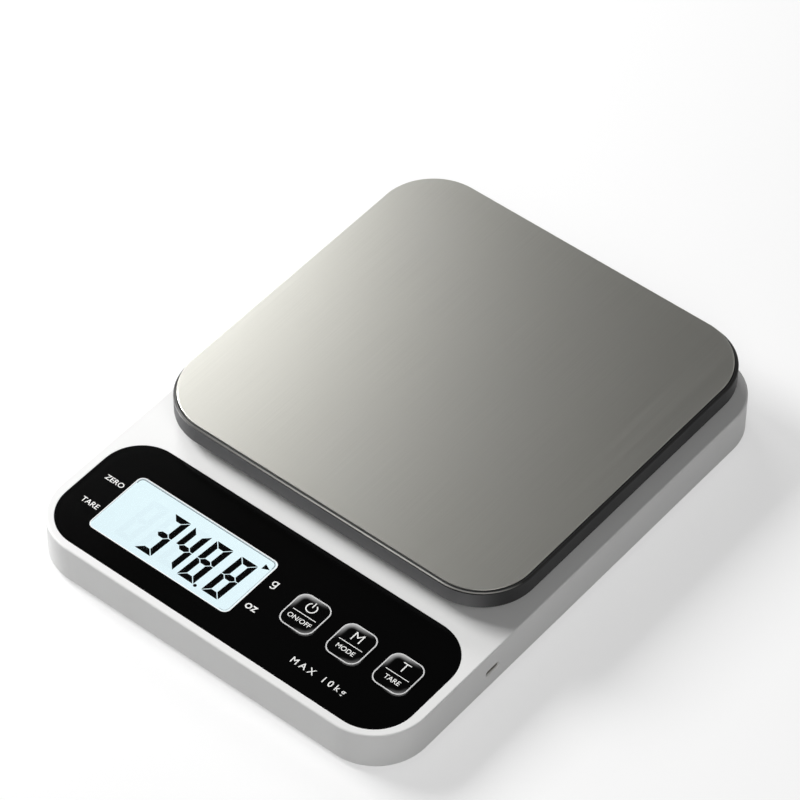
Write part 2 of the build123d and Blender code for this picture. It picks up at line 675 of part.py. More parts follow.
def platform_tray():
    """Dark tray with a sunk seat for the steel plate, a bolt boss and four overload stops."""
    tray = rounded_block(platform_width, PLATFORM_LENGTH, TRAY_CORNER_RADIUS, tray_bottom, tray_top,
                         0, platform_y)
    top = tray.faces().sort_by(Axis.Z)[-1]
    tray = chamfer(top_edges(tray), TRAY_BEVEL_WIDTH, TRAY_BEVEL_DROP, reference=top)
    tray = fillet(bottom_edges(tray), TRAY_BOTTOM_ROUND)
    tray -= rounded_block(platform_width - 2 * TRAY_WALL, PLATFORM_LENGTH - 2 * TRAY_WALL,
                          TRAY_CORNER_RADIUS - TRAY_WALL, tray_bottom, tray_floor_under, 0, platform_y)
    seat_inset = PLATE_INSET - PLATE_CLEARANCE
    tray -= rounded_block(platform_width - 2 * seat_inset, PLATFORM_LENGTH - 2 * seat_inset,
                          TRAY_CORNER_RADIUS - seat_inset, plate_floor, tray_top, 0, platform_y)
    tray += block(CELL_WIDTH + 2 * TRAY_BOSS_MARGIN, spacer_length + 2 * TRAY_BOSS_MARGIN,
                  spacer_top, tray_floor_under, 0, spacer_y)
    for side in (-1, 1):
        for end in (-1, 1):
            tray += disc(STOP_RADIUS, stop_bottom, tray_floor_under, side * (platform_width / 2 - STOP_INSET),
                         platform_y + end * (PLATFORM_LENGTH / 2 - STOP_INSET))
    for y in platform_bolt_ys:
        tray -= disc(BOLT_HEAD_DIAMETER / 2 + BOLT_HEAD_CLEARANCE, platform_bolt_seat, plate_floor, 0, y)
        tray -= disc(BOLT_DIAMETER / 2 + BOLT_CLEARANCE, spacer_top, platform_bolt_seat, 0, y)
    return tray


def plate_adhesive():
    """Sheet of adhesive between the tray and the steel plate."""
    inset = PLATE_INSET + ADHESIVE_INSET
    return rounded_block(platform_width - 2 * inset, PLATFORM_LENGTH - 2 * inset,
                         TRAY_CORNER_RADIUS - inset, plate_floor, plate_bottom, 0, platform_y)


def steel_plate():
    """Brushed steel sheet bonded into the tray's seat."""
    plate = rounded_block(platform_width - 2 * PLATE_INSET, PLATFORM_LENGTH - 2 * PLATE_INSET,
                          TRAY_CORNER_RADIUS - PLATE_INSET, plate_bottom, plate_top, 0, platform_y)
    return fillet(top_edges(plate), PLATE_EDGE_ROUND)


def housing_screw_set():
    """Six self-tapping screws from below, through the cover into the casing's bosses."""
    return group(screw(x, y, screw_seat, cover_boss_top + SCREW_GRIP,
                       SCREW_DIAMETER, SCREW_HEAD_DIAMETER, SCREW_HEAD) for x, y in housing_screws)


def board_screw_set():
    """Self-tapping screws that hold the main board to the deck's bosses."""
    return group(screw(x, y, board_under, board_top + BOARD_SCREW_GRIP,
                       SCREW_DIAMETER, SCREW_HEAD_DIAMETER, SCREW_HEAD) for x, y in board_screws)


def charge_screw_set():
    """Small self-tapping screws that hold the charging board."""
    return group(screw(x, y, charge_board_under, charge_board_top + BOARD_SCREW_GRIP,
                       CHARGE_SCREW_DIAMETER, CHARGE_SCREW_HEAD_DIAMETER, SCREW_HEAD)
                 for x, y in charge_screws)


def cell_leads():
    """Four leads from the gauge coat, over the fixed end of the beam, to the board's socket."""
    socket_rear = board_rear
    bend_start = cell_front
    bend_end = board_rear + (cell_front - board_rear) / 3
    solids = []
    for i in range(CELL_LEAD_COUNT):
        across = (i - (CELL_LEAD_COUNT - 1) / 2) * LEAD_SPACING
        solids.append(lead([(across, coat_front, cell_lead_z), (across, bend_start, cell_lead_z),
                            (middle_x + across, bend_end, cell_lead_z),
                            (middle_x + across, socket_rear, cell_lead_z)]))
    return group(solids)


def battery_leads():
    """Two leads from the front of the battery to the rear edge of the charging board."""
    pad_x = (charge_board_left + charge_board_right) / 2 + CHARGE_SCREW_INSET
    pad_y = port_y + CHARGE_BOARD_WIDTH / 2
    pad_z = charge_board_top + LEAD_DIAMETER / 2
    third = (battery_front - pad_y) / 3
    solids = []
    for i in (0, 1):
        shift = i * LEAD_SPACING
        solids.append(lead([(battery_x + shift, battery_front, battery_middle),
                            (battery_x + shift, battery_front - third + shift, battery_middle),
                            (pad_x + shift, pad_y + third + shift, pad_z),
                            (pad_x + shift, pad_y - LEAD_SOLDER_LENGTH, pad_z)]))
    return group(solids)


def power_leads():
    """Two leads from the charging board to the underside of the main board."""
    start_z = charge_board_top + LEAD_DIAMETER / 2
    end_z = board_under - LEAD_DIAMETER / 2
    pad_x = board_right - 2 * BOARD_SCREW_INSET - boss_radius - LEAD_DIAMETER
    solids = []
    for side in (-1, 1):
        shift = side * LEAD_SPACING / 2
        solids.append(lead([(charge_board_left + LEAD_SOLDER_LENGTH, port_y + shift, start_z),
                            (charge_board_left - LEAD_SOLDER_LENGTH, port_y + shift, start_z),
                            (pad_x - shift, port_y + shift, end_z),
                            (pad_x - shift, board_rear - LEAD_SOLDER_LENGTH, end_z)]))
    return group(solids)


pieces = {
    "upper_housing": upper_housing(),
    "bottom_cover": bottom_cover(),
    "rubber_feet": rubber_feet(),
    "control_panel": control_panel(),
    "display_window": display_window(),
    "lcd_gasket": lcd_gasket(),
    "lcd_glass": lcd_glass(),
    "lcd_pins": lcd_pins(),
    "backlight_guide": backlight_guide(),
    "backlight_leds": backlight_leds(),
    "main_board": main_board(),
    "controller_chip": controller_chip(),
    "converter_chip": converter_chip(),
    "board_capacitors": board_capacitors(),
    "lead_socket": lead_socket(),
    "switch_bodies": switch_bodies(),
    "charge_board": charge_board(),
    "charge_socket": charge_socket(),
    "socket_tongue": socket_tongue(),
    "charger_chip": charger_chip(),
    "battery_tape": battery_tape(),
    "battery_cell": battery_cell(),
    "load_cell": load_cell(),
    "gauge_coats": gauge_coats(),
    "cell_bolts": cell_bolts(),
    "platform_spacer": platform_spacer(),
    "platform_bolts": platform_bolts(),
    "platform_tray": platform_tray(),
    "plate_adhesive": plate_adhesive(),
    "steel_plate": steel_plate(),
    "housing_screws": housing_screw_set(),
    "board_screws": board_screw_set(),
    "charge_screws": charge_screw_set(),
    "cell_leads": cell_leads(),
    "battery_leads": battery_leads(),
    "power_leads": power_leads(),
}
for name, x in zip(KEY_NAMES, key_xs):
    pieces[name + "_button"] = key_cap(x)
    pieces[name + "_plunger"] = switch_plunger(x)

os.makedirs("parts", exist_ok=True)
for node, piece in pieces.items():
    export_step(piece, "parts/" + node + ".step")
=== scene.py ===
"""Kitchen scale: its finishes, printed marks, small fittings and studio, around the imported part."""

from math import cos, pi, radians, sin

import bmesh
import bpy
from bpy.props import FloatProperty, FloatVectorProperty, IntProperty, PointerProperty, StringProperty
from mathutils import Matrix, Vector


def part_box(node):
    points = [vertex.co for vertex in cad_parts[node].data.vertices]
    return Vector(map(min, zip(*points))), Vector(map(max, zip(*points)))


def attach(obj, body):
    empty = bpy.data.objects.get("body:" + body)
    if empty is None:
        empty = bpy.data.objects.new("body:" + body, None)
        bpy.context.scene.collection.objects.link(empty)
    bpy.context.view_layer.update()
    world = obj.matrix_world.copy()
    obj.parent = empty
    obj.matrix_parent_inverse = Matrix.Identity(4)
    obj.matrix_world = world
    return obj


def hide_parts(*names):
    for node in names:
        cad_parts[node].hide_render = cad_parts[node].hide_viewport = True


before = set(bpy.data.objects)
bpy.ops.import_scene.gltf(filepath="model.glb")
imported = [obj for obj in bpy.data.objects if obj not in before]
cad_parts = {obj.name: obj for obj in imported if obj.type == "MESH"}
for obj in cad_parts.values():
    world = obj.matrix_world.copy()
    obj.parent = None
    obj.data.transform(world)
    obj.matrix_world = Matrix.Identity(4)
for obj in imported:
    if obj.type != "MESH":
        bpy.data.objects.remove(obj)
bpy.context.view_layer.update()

bl_info = {
    "name": "Kitchen scale dressing",
    "version": (1, 0, 0),
    "blender": (4, 5, 0),
    "location": "View3D > Sidebar > Scale",
    "description": "Finishes, display reading, printed marks and studio of a kitchen scale",
    "category": "Object",
}

MM = 0.001
KEYS = ("power", "mode", "tare")
KEY_WORDS = {"power": "ON/OFF", "mode": "MODE", "tare": "TARE"}
KEY_LETTERS = {"mode": "M", "tare": "T"}
# Steps of a small round corner, and of the platform's large ones
ROUND_STEPS = 12
LARGE_ROUND_STEPS = 36
# Width of the lens's flange, which lies under the panel
LENS_FLANGE = 3.0 * MM
# Corner radius of the tray, width of the bevel round its top in millimetres, and how steeply the bevel falls
TRAY_CORNER = 24.6
TRAY_BEVEL = 1.0
TRAY_SLOPE = 0.5
# Strength of the light that comes through the display
DISPLAY_STRENGTH = 1.1
# The backdrop's upper edge rises towards this direction, away from the lamps,
# and fades between these two shares of it
BACKDROP_LEAN = (0.8, 0.0, -1.0)
BACKDROP_EDGE = (-0.95, -0.60)
# Behind the object the backdrop has its full strength, and in front of it this share of it
BACKDROP_SIDES = (-0.2, 0.2)
BACKDROP_FRONT = 0.4

# Places taken from the frame
panel_low, panel_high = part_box("control_panel")
lens_low, lens_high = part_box("display_window")
glass_low, glass_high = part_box("lcd_glass")
plate_low, plate_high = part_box("steel_plate")
tongue_low, tongue_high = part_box("socket_tongue")
feet_low, feet_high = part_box("rubber_feet")


def linear(code):
    """An sRGB hex colour as the linear values that shaders and colour properties take."""
    values = [int(code[i:i + 2], 16) / 255 for i in (1, 3, 5)]
    return [v / 12.92 if v <= 0.04045 else ((v + 0.055) / 1.055) ** 2.4 for v in values] + [1.0]


def colour(name, description, code):
    """A colour property with its default given as sRGB hex."""
    return FloatVectorProperty(name=name, description=description, subtype="COLOR", size=4,
                               min=0.0, max=1.0, default=linear(code))


def length(name, description, millimetres):
    """A length property with its default given in millimetres."""
    return FloatProperty(name=name, description=description, unit="LENGTH", precision=5,
                         default=millimetres * MM)


def angle(name, description, degrees):
    """An angle property with its default given in degrees."""
    return FloatProperty(name=name, description=description, unit="ROTATION", default=radians(degrees))


def power(name, description, watts):
    """A lamp's power property."""
    return FloatProperty(name=name, description=description, unit="POWER", default=watts)


class ScaleColours(bpy.types.PropertyGroup):
    """Colours of the finishes that show."""
    casing: colour("Casing", "White ABS of the casing", "#f0f0ef")
    cover: colour("Cover", "White ABS of the bottom cover", "#e6e6e4")
    panel: colour("Panel", "Black of the control panel and the keys", "#020202")
    marks: colour("Marks", "White ink of the printed marks", "#f4f4f2")
    outline: colour("Outline", "Silver ink of the key outlines", "#d6d6d6")
    lit: colour("Lit display", "Light of the display behind its reading", "#e5f7fd")
    segments: colour("Segments", "Dark segments of the reading", "#030304")
    # Painted shade along the rear of the display window
    rear_shade_tone: colour("Frame line", "Grey line behind the display", "#7b868b")
    # Paler painted shade along the right of the display window
    side_shade_tone: colour("Side line", "Pale line beside the display", "#b4c1c6")
    tray: colour("Tray", "Grey coat of the platform's tray", "#747475")
    # Base colour of the painted reflection on the tray's bevel band
    bevel_reflection: colour("Trim", "Foil on the tray's bevel", "#8f8e8a")
    # Near-black of the painted shade lines on the tray's edges
    shade_line_tone: colour("Edge line", "Black lacquer on the tray's edges", "#0b0b0c")
    steel: colour("Steel", "Brushed steel of the platform", "#cbcac3")
    rubber: colour("Feet", "Rubber of the feet", "#4b4b4a")


class ScaleMarks(bpy.types.PropertyGroup):
    """Sizes of the reading and of the printed marks."""
    reading: StringProperty(name="Reading", description="Digits and point on the display", default="348.8")
    places: IntProperty(name="Places", description="Digit places of the display", default=5)
    digit_height: length("Digit height", "Height of a digit", 22.0)
    digit_width: length("Digit width", "Width of a digit", 8.2)
    digit_pitch: length("Digit pitch", "Distance from digit to digit", 10.7)
    point_room: length("Point room", "Extra room beside the decimal point", 1.5)
    stroke: length("Stroke", "Width of a digit's segments", 2.65)
    mitre_gap: length("Mitre gap", "Gap between two segments", 0.35)
    slant: angle("Slant", "Lean of the digits", 3.5)
    right_margin: length("Right margin", "From the last digit to the window's edge", 8.0)
    front_margin: length("Front margin", "From the digits to the window's edge", 4.4)
    point_diameter: length("Point", "Diameter of the decimal point", 1.5)
    ink: length("Ink", "Thickness of the printed marks", 0.03)
    unit_height: length("Unit height", "Height of the small unit letters", 2.7)
    label_height: length("Label height", "Height of the labels beside the display", 2.5)
    note_height: length("Note height", "Height of the capacity note", 3.9)
    letter_height: length("Letter height", "Height of a key's letter", 4.4)
    word_height: length("Word height", "Height of a key's word", 2.15)
    outline_width: length("Outline width", "Width of a key's outline", 0.5)
    divider_length: length("Divider length", "Length of a key's dividing line", 11.0)
    divider_width: length("Divider width", "Width of a key's dividing line", 0.32)


class ScaleStudio(bpy.types.PropertyGroup):
    """Camera and lamps."""
    azimuth: angle("Azimuth", "Camera's turn to the right", 39.444)
    elevation: angle("Elevation", "Camera's height angle", 47.486)
    distance: length("Distance", "From the camera to the point it looks at", 1620.9)
    lens: FloatProperty(name="Lens", description="Focal length", unit="CAMERA", default=189.04)
    key_power: power("Key lamp", "Power of the key lamp", 21.8)
    sheen_power: power("Sheen lamp", "Power of the lamp that the steel catches", 2.85)
    fill_power: power("Fill lamp", "Power of the fill lamp", 5.0)
    sky: FloatProperty(name="Sky", description="Strength of the even light", default=0.035)
    backdrop: FloatProperty(name="Backdrop", description="Strength of the white backdrop round the floor",
                            default=0.55)


# Nodes, materials and pieces

def add_node(tree, kind, inputs=None, **settings):
    """Adds a shader node with its settings. An input that is a socket becomes a link, and so does one that is
    a node, from the first of its outputs that is in use."""
    made = tree.nodes.new("ShaderNode" + kind)
    for name, value in settings.items():
        setattr(made, name, value)
    for key, value in (inputs or {}).items():
        if isinstance(value, bpy.types.Node):
            value = next(output for output in value.outputs if output.enabled)
        if isinstance(value, bpy.types.NodeSocket):
            tree.links.new(value, made.inputs[key])
        else:
            made.inputs[key].default_value = value
    return made


def new_material(name):
    """An empty material and its node tree."""
    material = bpy.data.materials.new(name)
    material.use_nodes = True
    material.node_tree.nodes.clear()
    return material, material.node_tree


def seen_directly(tree):
    """A value that is 1 on a surface or sky that the camera sees, directly, mirrored or through glass."""
    path = add_node(tree, "LightPath")
    seen = path.outputs["Is Camera Ray"]
    for kind in ("Is Glossy Ray", "Is Transmission Ray"):
        seen = add_node(tree, "Math", {0: seen, 1: path.outputs[kind]}, operation="MAXIMUM")
    return seen


def per_mm(millimetres):
    """Texture scale that gives a pattern of this real size in an object measured in metres."""
    return 1.0 / (millimetres * MM)


def shade(base, share):
    """A colour made lighter or darker by a share of itself."""
    return [min(1.0, max(0.0, v * share)) for v in base[:3]] + [1.0]


def grained(name, base, roughness, grain, relief, ior=1.5, metallic=0.0, tint=0.05, patch=30.0,
            specular=0.5):
    """A surface with fine grain in its relief, and slow drift in its colour and its gloss.
    grain and patch are the sizes of the two patterns and relief the depth of the first, in millimetres."""
    material, tree = new_material(name)
    place = add_node(tree, "TexCoord").outputs["Object"]
    fine = add_node(tree, "TexNoise", {"Vector": place, "Scale": per_mm(grain), "Detail": 2.0})
    slow = add_node(tree, "TexNoise", {"Vector": place, "Scale": per_mm(patch), "Detail": 3.0})
    tone = add_node(tree, "Mix", {0: slow, 6: shade(base, 1 - tint), 7: shade(base, 1 + tint)},
                    data_type="RGBA")
    gloss = add_node(tree, "MapRange", {0: slow, 1: 0.25, 2: 0.75, 3: roughness * 0.88, 4: roughness * 1.12})
    bump = add_node(tree, "Bump", {"Strength": 1.0, "Distance": relief * MM, "Height": fine})
    surface = add_node(tree, "BsdfPrincipled", {
        "Base Color": tone, "Roughness": gloss, "Metallic": metallic, "IOR": ior,
        "Specular IOR Level": specular, "Normal": bump})
    add_node(tree, "OutputMaterial", {"Surface": surface})
    return material


def dress(material, *nodes):
    """Gives CAD nodes their finish."""
    for name in nodes:
        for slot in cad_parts[name].material_slots:
            slot.material = material


def piece_from_mesh(mesh, name, material, body):
    """Links a finished mesh as a piece that rides a body."""
    mesh.materials.clear()
    mesh.materials.append(material)
    piece = bpy.data.objects.new(name, mesh)
    bpy.context.scene.collection.objects.link(piece)
    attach(piece, body)
    return piece


def piece_from_bmesh(bm, name, material, body):
    """Closes a bmesh's normals and links it as a piece that rides a body."""
    bmesh.ops.recalc_face_normals(bm, faces=bm.faces)
    mesh = bpy.data.meshes.new(name)
    bm.to_mesh(mesh)
    bm.free()
    return piece_from_mesh(mesh, name, material, body)


def flat_bar(bm, low, high):
    """A flat rectangle between two corners; returns its vertices."""
    verts = bmesh.ops.create_grid(bm, x_segments=1, y_segments=1, size=0.5)["verts"]
    bmesh.ops.scale(bm, verts=verts, vec=(high[0] - low[0], high[1] - low[1], 1.0))
    bmesh.ops.translate(bm, verts=verts, vec=((low[0] + high[0]) / 2, (low[1] + high[1]) / 2, 0.0))
    return verts


def thicken(bm, thickness):
    """Extrudes every flat face upwards into a closed layer."""
    raised = bmesh.ops.extrude_face_region(bm, geom=bm.faces[:])["geom"]
    verts = [item for item in raised if isinstance(item, bmesh.types.BMVert)]
    bmesh.ops.translate(bm, verts=verts, vec=(0.0, 0.0, thickness))


def absorb(bm, part):
    """Moves a finished bmesh into another."""
    held = bpy.data.meshes.new("held")
    part.to_mesh(held)
    part.free()
    bm.from_mesh(held)
    bpy.data.meshes.remove(held)


def cut_off(bm, point, outwards):
    """Cuts away all that lies outwards of a plane through a point."""
    bmesh.ops.bisect_plane(bm, geom=bm.verts[:] + bm.edges[:] + bm.faces[:], plane_co=point,
                           plane_no=outwards, clear_outer=True)


def smooth_sides(piece):
    """Shades a piece smooth except where it is level."""
    for face in piece.data.polygons:
        face.use_smooth = abs(face.normal.z) < 0.99


def rounded_sheet(bm, low, high, radius, steps):
    """A flat rectangle between two corners, with its own corners rounded."""
    verts = flat_bar(bm, low, high)
    bmesh.ops.bevel(bm, geom=verts, offset=radius, offset_type="OFFSET", segments=steps, profile=0.5,
                    affect="VERTICES", material=-1)


def rounded_band(bm, size, radius, width, rise=0.0, steps=ROUND_STEPS):
    """A flat or sloping band inside the outline of a rectangle with round corners about the origin."""
    rounded_sheet(bm, (-size.x / 2, -size.y / 2), (size.x / 2, size.y / 2), radius, steps)
    bmesh.ops.inset_region(bm, faces=bm.faces[:], thickness=width, depth=rise, use_boundary=True,
                           use_even_offset=True)
    inner = max(bm.faces, key=lambda face: len(face.verts))
    bmesh.ops.delete(bm, geom=[inner], context="FACES")


def lettering(words, height, middle, name, material, body, thickness, weight=0.008, spacing=1.0):
    """Printed letters of a given height, about a middle point on the surface that they are printed on."""
    curve = bpy.data.curves.new(name, "FONT")
    curve.body = words
    curve.extrude = 0.5
    curve.offset = weight
    curve.space_character = spacing
    curve.resolution_u = 6
    holder = bpy.data.objects.new(name, curve)
    bpy.context.scene.collection.objects.link(holder)
    bpy.context.view_layer.update()
    mesh = bpy.data.meshes.new_from_object(holder)
    bpy.data.objects.remove(holder)
    bpy.data.curves.remove(curve)
    low = Vector([min(v.co[i] for v in mesh.vertices) for i in range(3)])
    high = Vector([max(v.co[i] for v in mesh.vertices) for i in range(3)])
    grow = height / (high.y - low.y)
    mesh.transform(Matrix.Translation(-(low + high) / 2))
    mesh.transform(Matrix.Diagonal((grow, grow, thickness, 1.0)))
    mesh.transform(Matrix.Translation(Vector(middle) + Vector((0.0, 0.0, thickness / 2))))
    return piece_from_mesh(mesh, name, material, body)


# Finishes, each named for its material and how its surface was made

def moulded_white_abs(colours):
    """Satin ABS from a finely eroded mould: a soft sheen with a grain that only shows close up."""
    return grained("moulded_white_abs", colours.casing, roughness=0.42, grain=0.5, relief=0.004, ior=1.54,
                   tint=0.012, patch=45.0)


def spark_textured_abs(colours):
    """ABS from a spark-eroded mould: a matt underside with a grain the fingers feel."""
    return grained("spark_textured_abs", colours.cover, roughness=0.62, grain=0.7, relief=0.03, ior=1.54,
                   tint=0.02, patch=25.0)


def matt_grey_abs(colours):
    """Dark ABS under a matt grey coat: dull and even, with hardly any reflection, and darkened to nearly
    black on the right side by painted shade."""
    fade = 15.0 * MM
    material = grained("matt_grey_abs_right_painted_shade", colours.tray, roughness=0.6, grain=0.5, relief=0.003, ior=1.54,
                       tint=0.04, patch=20.0, specular=0.2)
    tree = material.node_tree
    colour_input = next(node for node in tree.nodes if node.type == "BSDF_PRINCIPLED").inputs["Base Color"]
    coat = colour_input.links[0].from_socket
    apart = add_node(tree, "SeparateXYZ", {0: add_node(tree, "TexCoord").outputs["Object"]})
    # Painted shade: over the last 15 mm towards the right side the coat's colour darkens to nearly black
    right = add_node(tree, "MapRange", {0: apart.outputs["X"], 1: plate_high.x - fade, 2: plate_high.x},
                     interpolation_type="SMOOTHSTEP")
    tone = add_node(tree, "Mix", {0: right, 6: coat, 7: shade(colours.tray, 0.12)}, data_type="RGBA")
    tree.links.new(tone.outputs[2], colour_input)
    return material


def moulded_rubber(colours):
    """Moulded rubber: dull, with a fine powdery grain and pale scuffs where it stands."""
    return grained("moulded_rubber", colours.rubber, roughness=0.8, grain=0.6, relief=0.03, ior=1.52,
                   tint=0.12, patch=5.0)


def printed_sheet(colours):
    """Acrylic sheet printed black on its back: deep black under a polished face, with a trace of waviness."""
    return grained("printed_acrylic_sheet", colours.panel, roughness=0.1, grain=9.0, relief=0.002, ior=1.49,
                   tint=0.2, patch=60.0)


def brushed_stainless(colours):
    """Stainless sheet brushed from front to back: long fine lines that spread each highlight sideways.
    The real scratches are about 0.05 mm apart, too fine to show, so they are drawn 0.35 mm apart."""
    material, tree = new_material("brushed_stainless_sheet")
    place = add_node(tree, "TexCoord").outputs["Object"]
    lines = add_node(tree, "Mapping", {"Vector": place, "Scale": (per_mm(0.35), per_mm(45.0), 1.0)})
    bands = add_node(tree, "Mapping", {"Vector": place, "Scale": (per_mm(1.2), per_mm(140.0), 1.0)})
    fine = add_node(tree, "TexNoise", {"Vector": lines, "Scale": 1.0, "Detail": 3.0})
    broad = add_node(tree, "TexNoise", {"Vector": bands, "Scale": 1.0, "Detail": 2.0})
    tone = add_node(tree, "Mix", {0: fine, 6: shade(colours.steel, 0.93), 7: shade(colours.steel, 1.05)},
                    data_type="RGBA")
    gloss = add_node(tree, "MapRange", {0: broad, 1: 0.3, 2: 0.7, 3: 0.33, 4: 0.35})
    bump = add_node(tree, "Bump", {"Strength": 0.6, "Distance": 0.006 * MM, "Height": fine})
    surface = add_node(tree, "BsdfPrincipled", {
        "Base Color": tone, "Roughness": gloss, "Metallic": 1.0, "Normal": bump})
    add_node(tree, "OutputMaterial", {"Surface": surface})
    return material


def bevel_painted_reflection(colours):
    """Silver band whose colour is a painted reflection: pale along the front, brightest towards the right,
    and darkened to near black towards the left and round the other sides."""
    material, tree = new_material("bevel_painted_reflection")
    place = add_node(tree, "TexCoord").outputs["Object"]
    apart = add_node(tree, "SeparateXYZ", {0: place})
    # Painted reflection: the band is pale only along the front, and fades out towards the left and the rear
    along = add_node(tree, "MapRange", {0: apart.outputs["X"], 1: plate_low.x * 0.9, 2: plate_high.x * 0.3})
    front = add_node(tree, "MapRange", {0: apart.outputs["Y"], 1: plate_low.y + 18.0 * MM,
                                        2: plate_low.y + 6.0 * MM})
    cover = add_node(tree, "Math", {0: along, 1: front}, operation="MULTIPLY")
    cloud = add_node(tree, "TexNoise", {"Vector": place, "Scale": per_mm(8.0), "Detail": 3.0})
    tone = add_node(tree, "Mix", {0: cover, 6: shade(colours.bevel_reflection, 0.12), 7: shade(colours.bevel_reflection, 1.3)},
                    data_type="RGBA")
    gloss = add_node(tree, "MapRange", {0: cloud, 1: 0.25, 2: 0.75, 3: 0.46, 4: 0.54})
    surface = add_node(tree, "BsdfPrincipled", {"Base Color": tone, "Roughness": gloss, "Metallic": 1.0})
    add_node(tree, "OutputMaterial", {"Surface": surface})
    return material


def painted_edge_shade(colours):
    """Near-black lines with a soft gloss: painted shade along the tray's outer edge and inside its bevel."""
    return grained("black_edge_painted_shade", colours.shade_line_tone, roughness=0.4, grain=0.4, relief=0.001,
                   tint=0.1, patch=8.0)


def polished_acrylic():
    """Clear acrylic with a polished face: sharp reflections, and a faint haze in patches from wiping."""
    material, tree = new_material("polished_clear_acrylic")
    place = add_node(tree, "TexCoord").outputs["Object"]
    cloud = add_node(tree, "TexNoise", {"Vector": place, "Scale": per_mm(14.0), "Detail": 3.0})
    haze = add_node(tree, "MapRange", {0: cloud, 1: 0.35, 2: 0.75, 3: 0.0, 4: 0.01})
    surface = add_node(tree, "BsdfPrincipled", {
        "Base Color": linear("#fbfdfd"), "Roughness": haze, "IOR": 1.49, "Transmission Weight": 1.0})
    add_node(tree, "OutputMaterial", {"Surface": surface})
    return material


def lit_glass(name, base, strength):
    """Display glass in front of its lamp: an even pale light, a little dimmer towards the front edge."""
    material, tree = new_material(name)
    place = add_node(tree, "TexCoord").outputs["Object"]
    apart = add_node(tree, "SeparateXYZ", {0: place})
    rear = add_node(tree, "MapRange", {0: apart.outputs["Y"], 1: glass_low.y, 2: glass_high.y,
                                       3: 0.0, 4: 0.7})
    cloud = add_node(tree, "TexNoise", {"Vector": place, "Scale": per_mm(6.0), "Detail": 2.0})
    share = add_node(tree, "Math", {0: cloud, 1: 0.3, 2: rear}, operation="MULTIPLY_ADD")
    tone = add_node(tree, "Mix", {0: share, 6: shade(base, 0.97), 7: shade(base, 1.03)}, data_type="RGBA")
    surface = add_node(tree, "BsdfPrincipled", {
        "Base Color": linear("#08090a"), "Roughness": 0.5, "IOR": 1.52, "Specular IOR Level": 0.1,
        "Emission Color": tone, "Emission Strength": strength})
    add_node(tree, "OutputMaterial", {"Surface": surface})
    return material


def key_cap_painted_highlight(name, colours, key_low, key_high):
    """Gloss black key with a painted highlight: a pale crescent in its rear left corner and a weaker one
    opposite, each fading inwards."""
    material, tree = new_material(name)
    middle = (key_low + key_high) / 2
    lip = 1.0 * MM
    corner = 4.5 * MM
    fade_start = corner - 2.9 * MM
    fade_end = corner - 0.6 * MM
    half = Vector(((key_high.x - key_low.x) / 2 - lip, (key_high.y - key_low.y) / 2 - lip, 1.0))
    place = add_node(tree, "TexCoord").outputs["Object"]
    local = add_node(tree, "Mapping", {"Vector": place, "Location": (-middle.x, -middle.y, 0.0),
                                       "Scale": (1.0, 1.0, 0.0)})
    folded = add_node(tree, "VectorMath", {0: local}, operation="ABSOLUTE")
    past = add_node(tree, "VectorMath", {0: folded, 1: (half.x - corner, half.y - corner, 0.0)},
                    operation="SUBTRACT")
    outer = add_node(tree, "VectorMath", {0: past, 1: (0.0, 0.0, 0.0)}, operation="MAXIMUM")
    reach = add_node(tree, "VectorMath", {0: outer}, operation="LENGTH")
    edge = add_node(tree, "MapRange", {0: reach, 1: fade_start, 2: fade_end}, interpolation_type="SMOOTHSTEP")
    lean = add_node(tree, "VectorMath", {0: local, 1: (-0.4 / half.x, 0.6 / half.y, 0.0)},
                    operation="DOT_PRODUCT")
    rear = add_node(tree, "MapRange", {0: lean, 1: 0.2, 2: 0.85, 3: 0.0, 4: 0.85},
                    interpolation_type="SMOOTHSTEP")
    front = add_node(tree, "MapRange", {0: lean, 1: -0.5, 2: -0.95, 3: 0.0, 4: 0.4},
                     interpolation_type="SMOOTHSTEP")
    both = add_node(tree, "Math", {0: rear, 1: front}, operation="ADD")
    crescent_highlight = add_node(tree, "Math", {0: both, 1: edge}, operation="MULTIPLY")
    # Painted highlight: pale grey crescents mixed into the key's black
    tone = add_node(tree, "Mix", {0: crescent_highlight, 6: colours.panel[:], 7: linear("#cfcfcf")}, data_type="RGBA")
    surface = add_node(tree, "BsdfPrincipled", {"Base Color": tone, "Roughness": 0.12, "IOR": 1.49})
    add_node(tree, "OutputMaterial", {"Surface": surface})
    return material


def screen_ink(name, base):
    """Screen-printed ink: an even matt film that is a touch thinner in places."""
    return grained(name, base, roughness=0.55, grain=0.4, relief=0.002, tint=0.03, patch=2.0)


def display_ink(colours):
    """Dark display segments: they lie inside the glass, so they are black with no gloss of their own."""
    material, tree = new_material("display_segments")
    place = add_node(tree, "TexCoord").outputs["Object"]
    cloud = add_node(tree, "TexNoise", {"Vector": place, "Scale": per_mm(3.0), "Detail": 2.0})
    tone = add_node(tree, "Mix", {0: cloud, 6: shade(colours.segments, 0.7), 7: shade(colours.segments, 1.3)},
                    data_type="RGBA")
    surface = add_node(tree, "BsdfPrincipled", {
        "Base Color": tone, "Roughness": 0.9, "Specular IOR Level": 0.0})
    add_node(tree, "OutputMaterial", {"Surface": surface})
    return material


def zinc_plate():
    """Zinc-plated steel: bluish grey with dull patches."""
    return grained("zinc_plated_steel", linear("#b9bdc2"), roughness=0.36, grain=0.5, relief=0.004,
                   ior=1.5, metallic=1.0, tint=0.08, patch=2.5)


def stamped_nickel():
    """Stamped and nickel-plated shell: bright, with faint drawing marks."""
    return grained("nickel_plated_shell", linear("#c4c2bd"), roughness=0.28, grain=0.3, relief=0.002,
                   ior=1.5, metallic=1.0, tint=0.06, patch=1.5)


def gold_plate():
    """Gold-plated contacts: warm and bright, wiped duller where a plug rubs."""
    return grained("gold_plated_contacts", linear("#dcb464"), roughness=0.25, grain=0.2, relief=0.001,
                   ior=1.5, metallic=1.0, tint=0.08, patch=1.0)


# Operators, one for each piece or group of like pieces

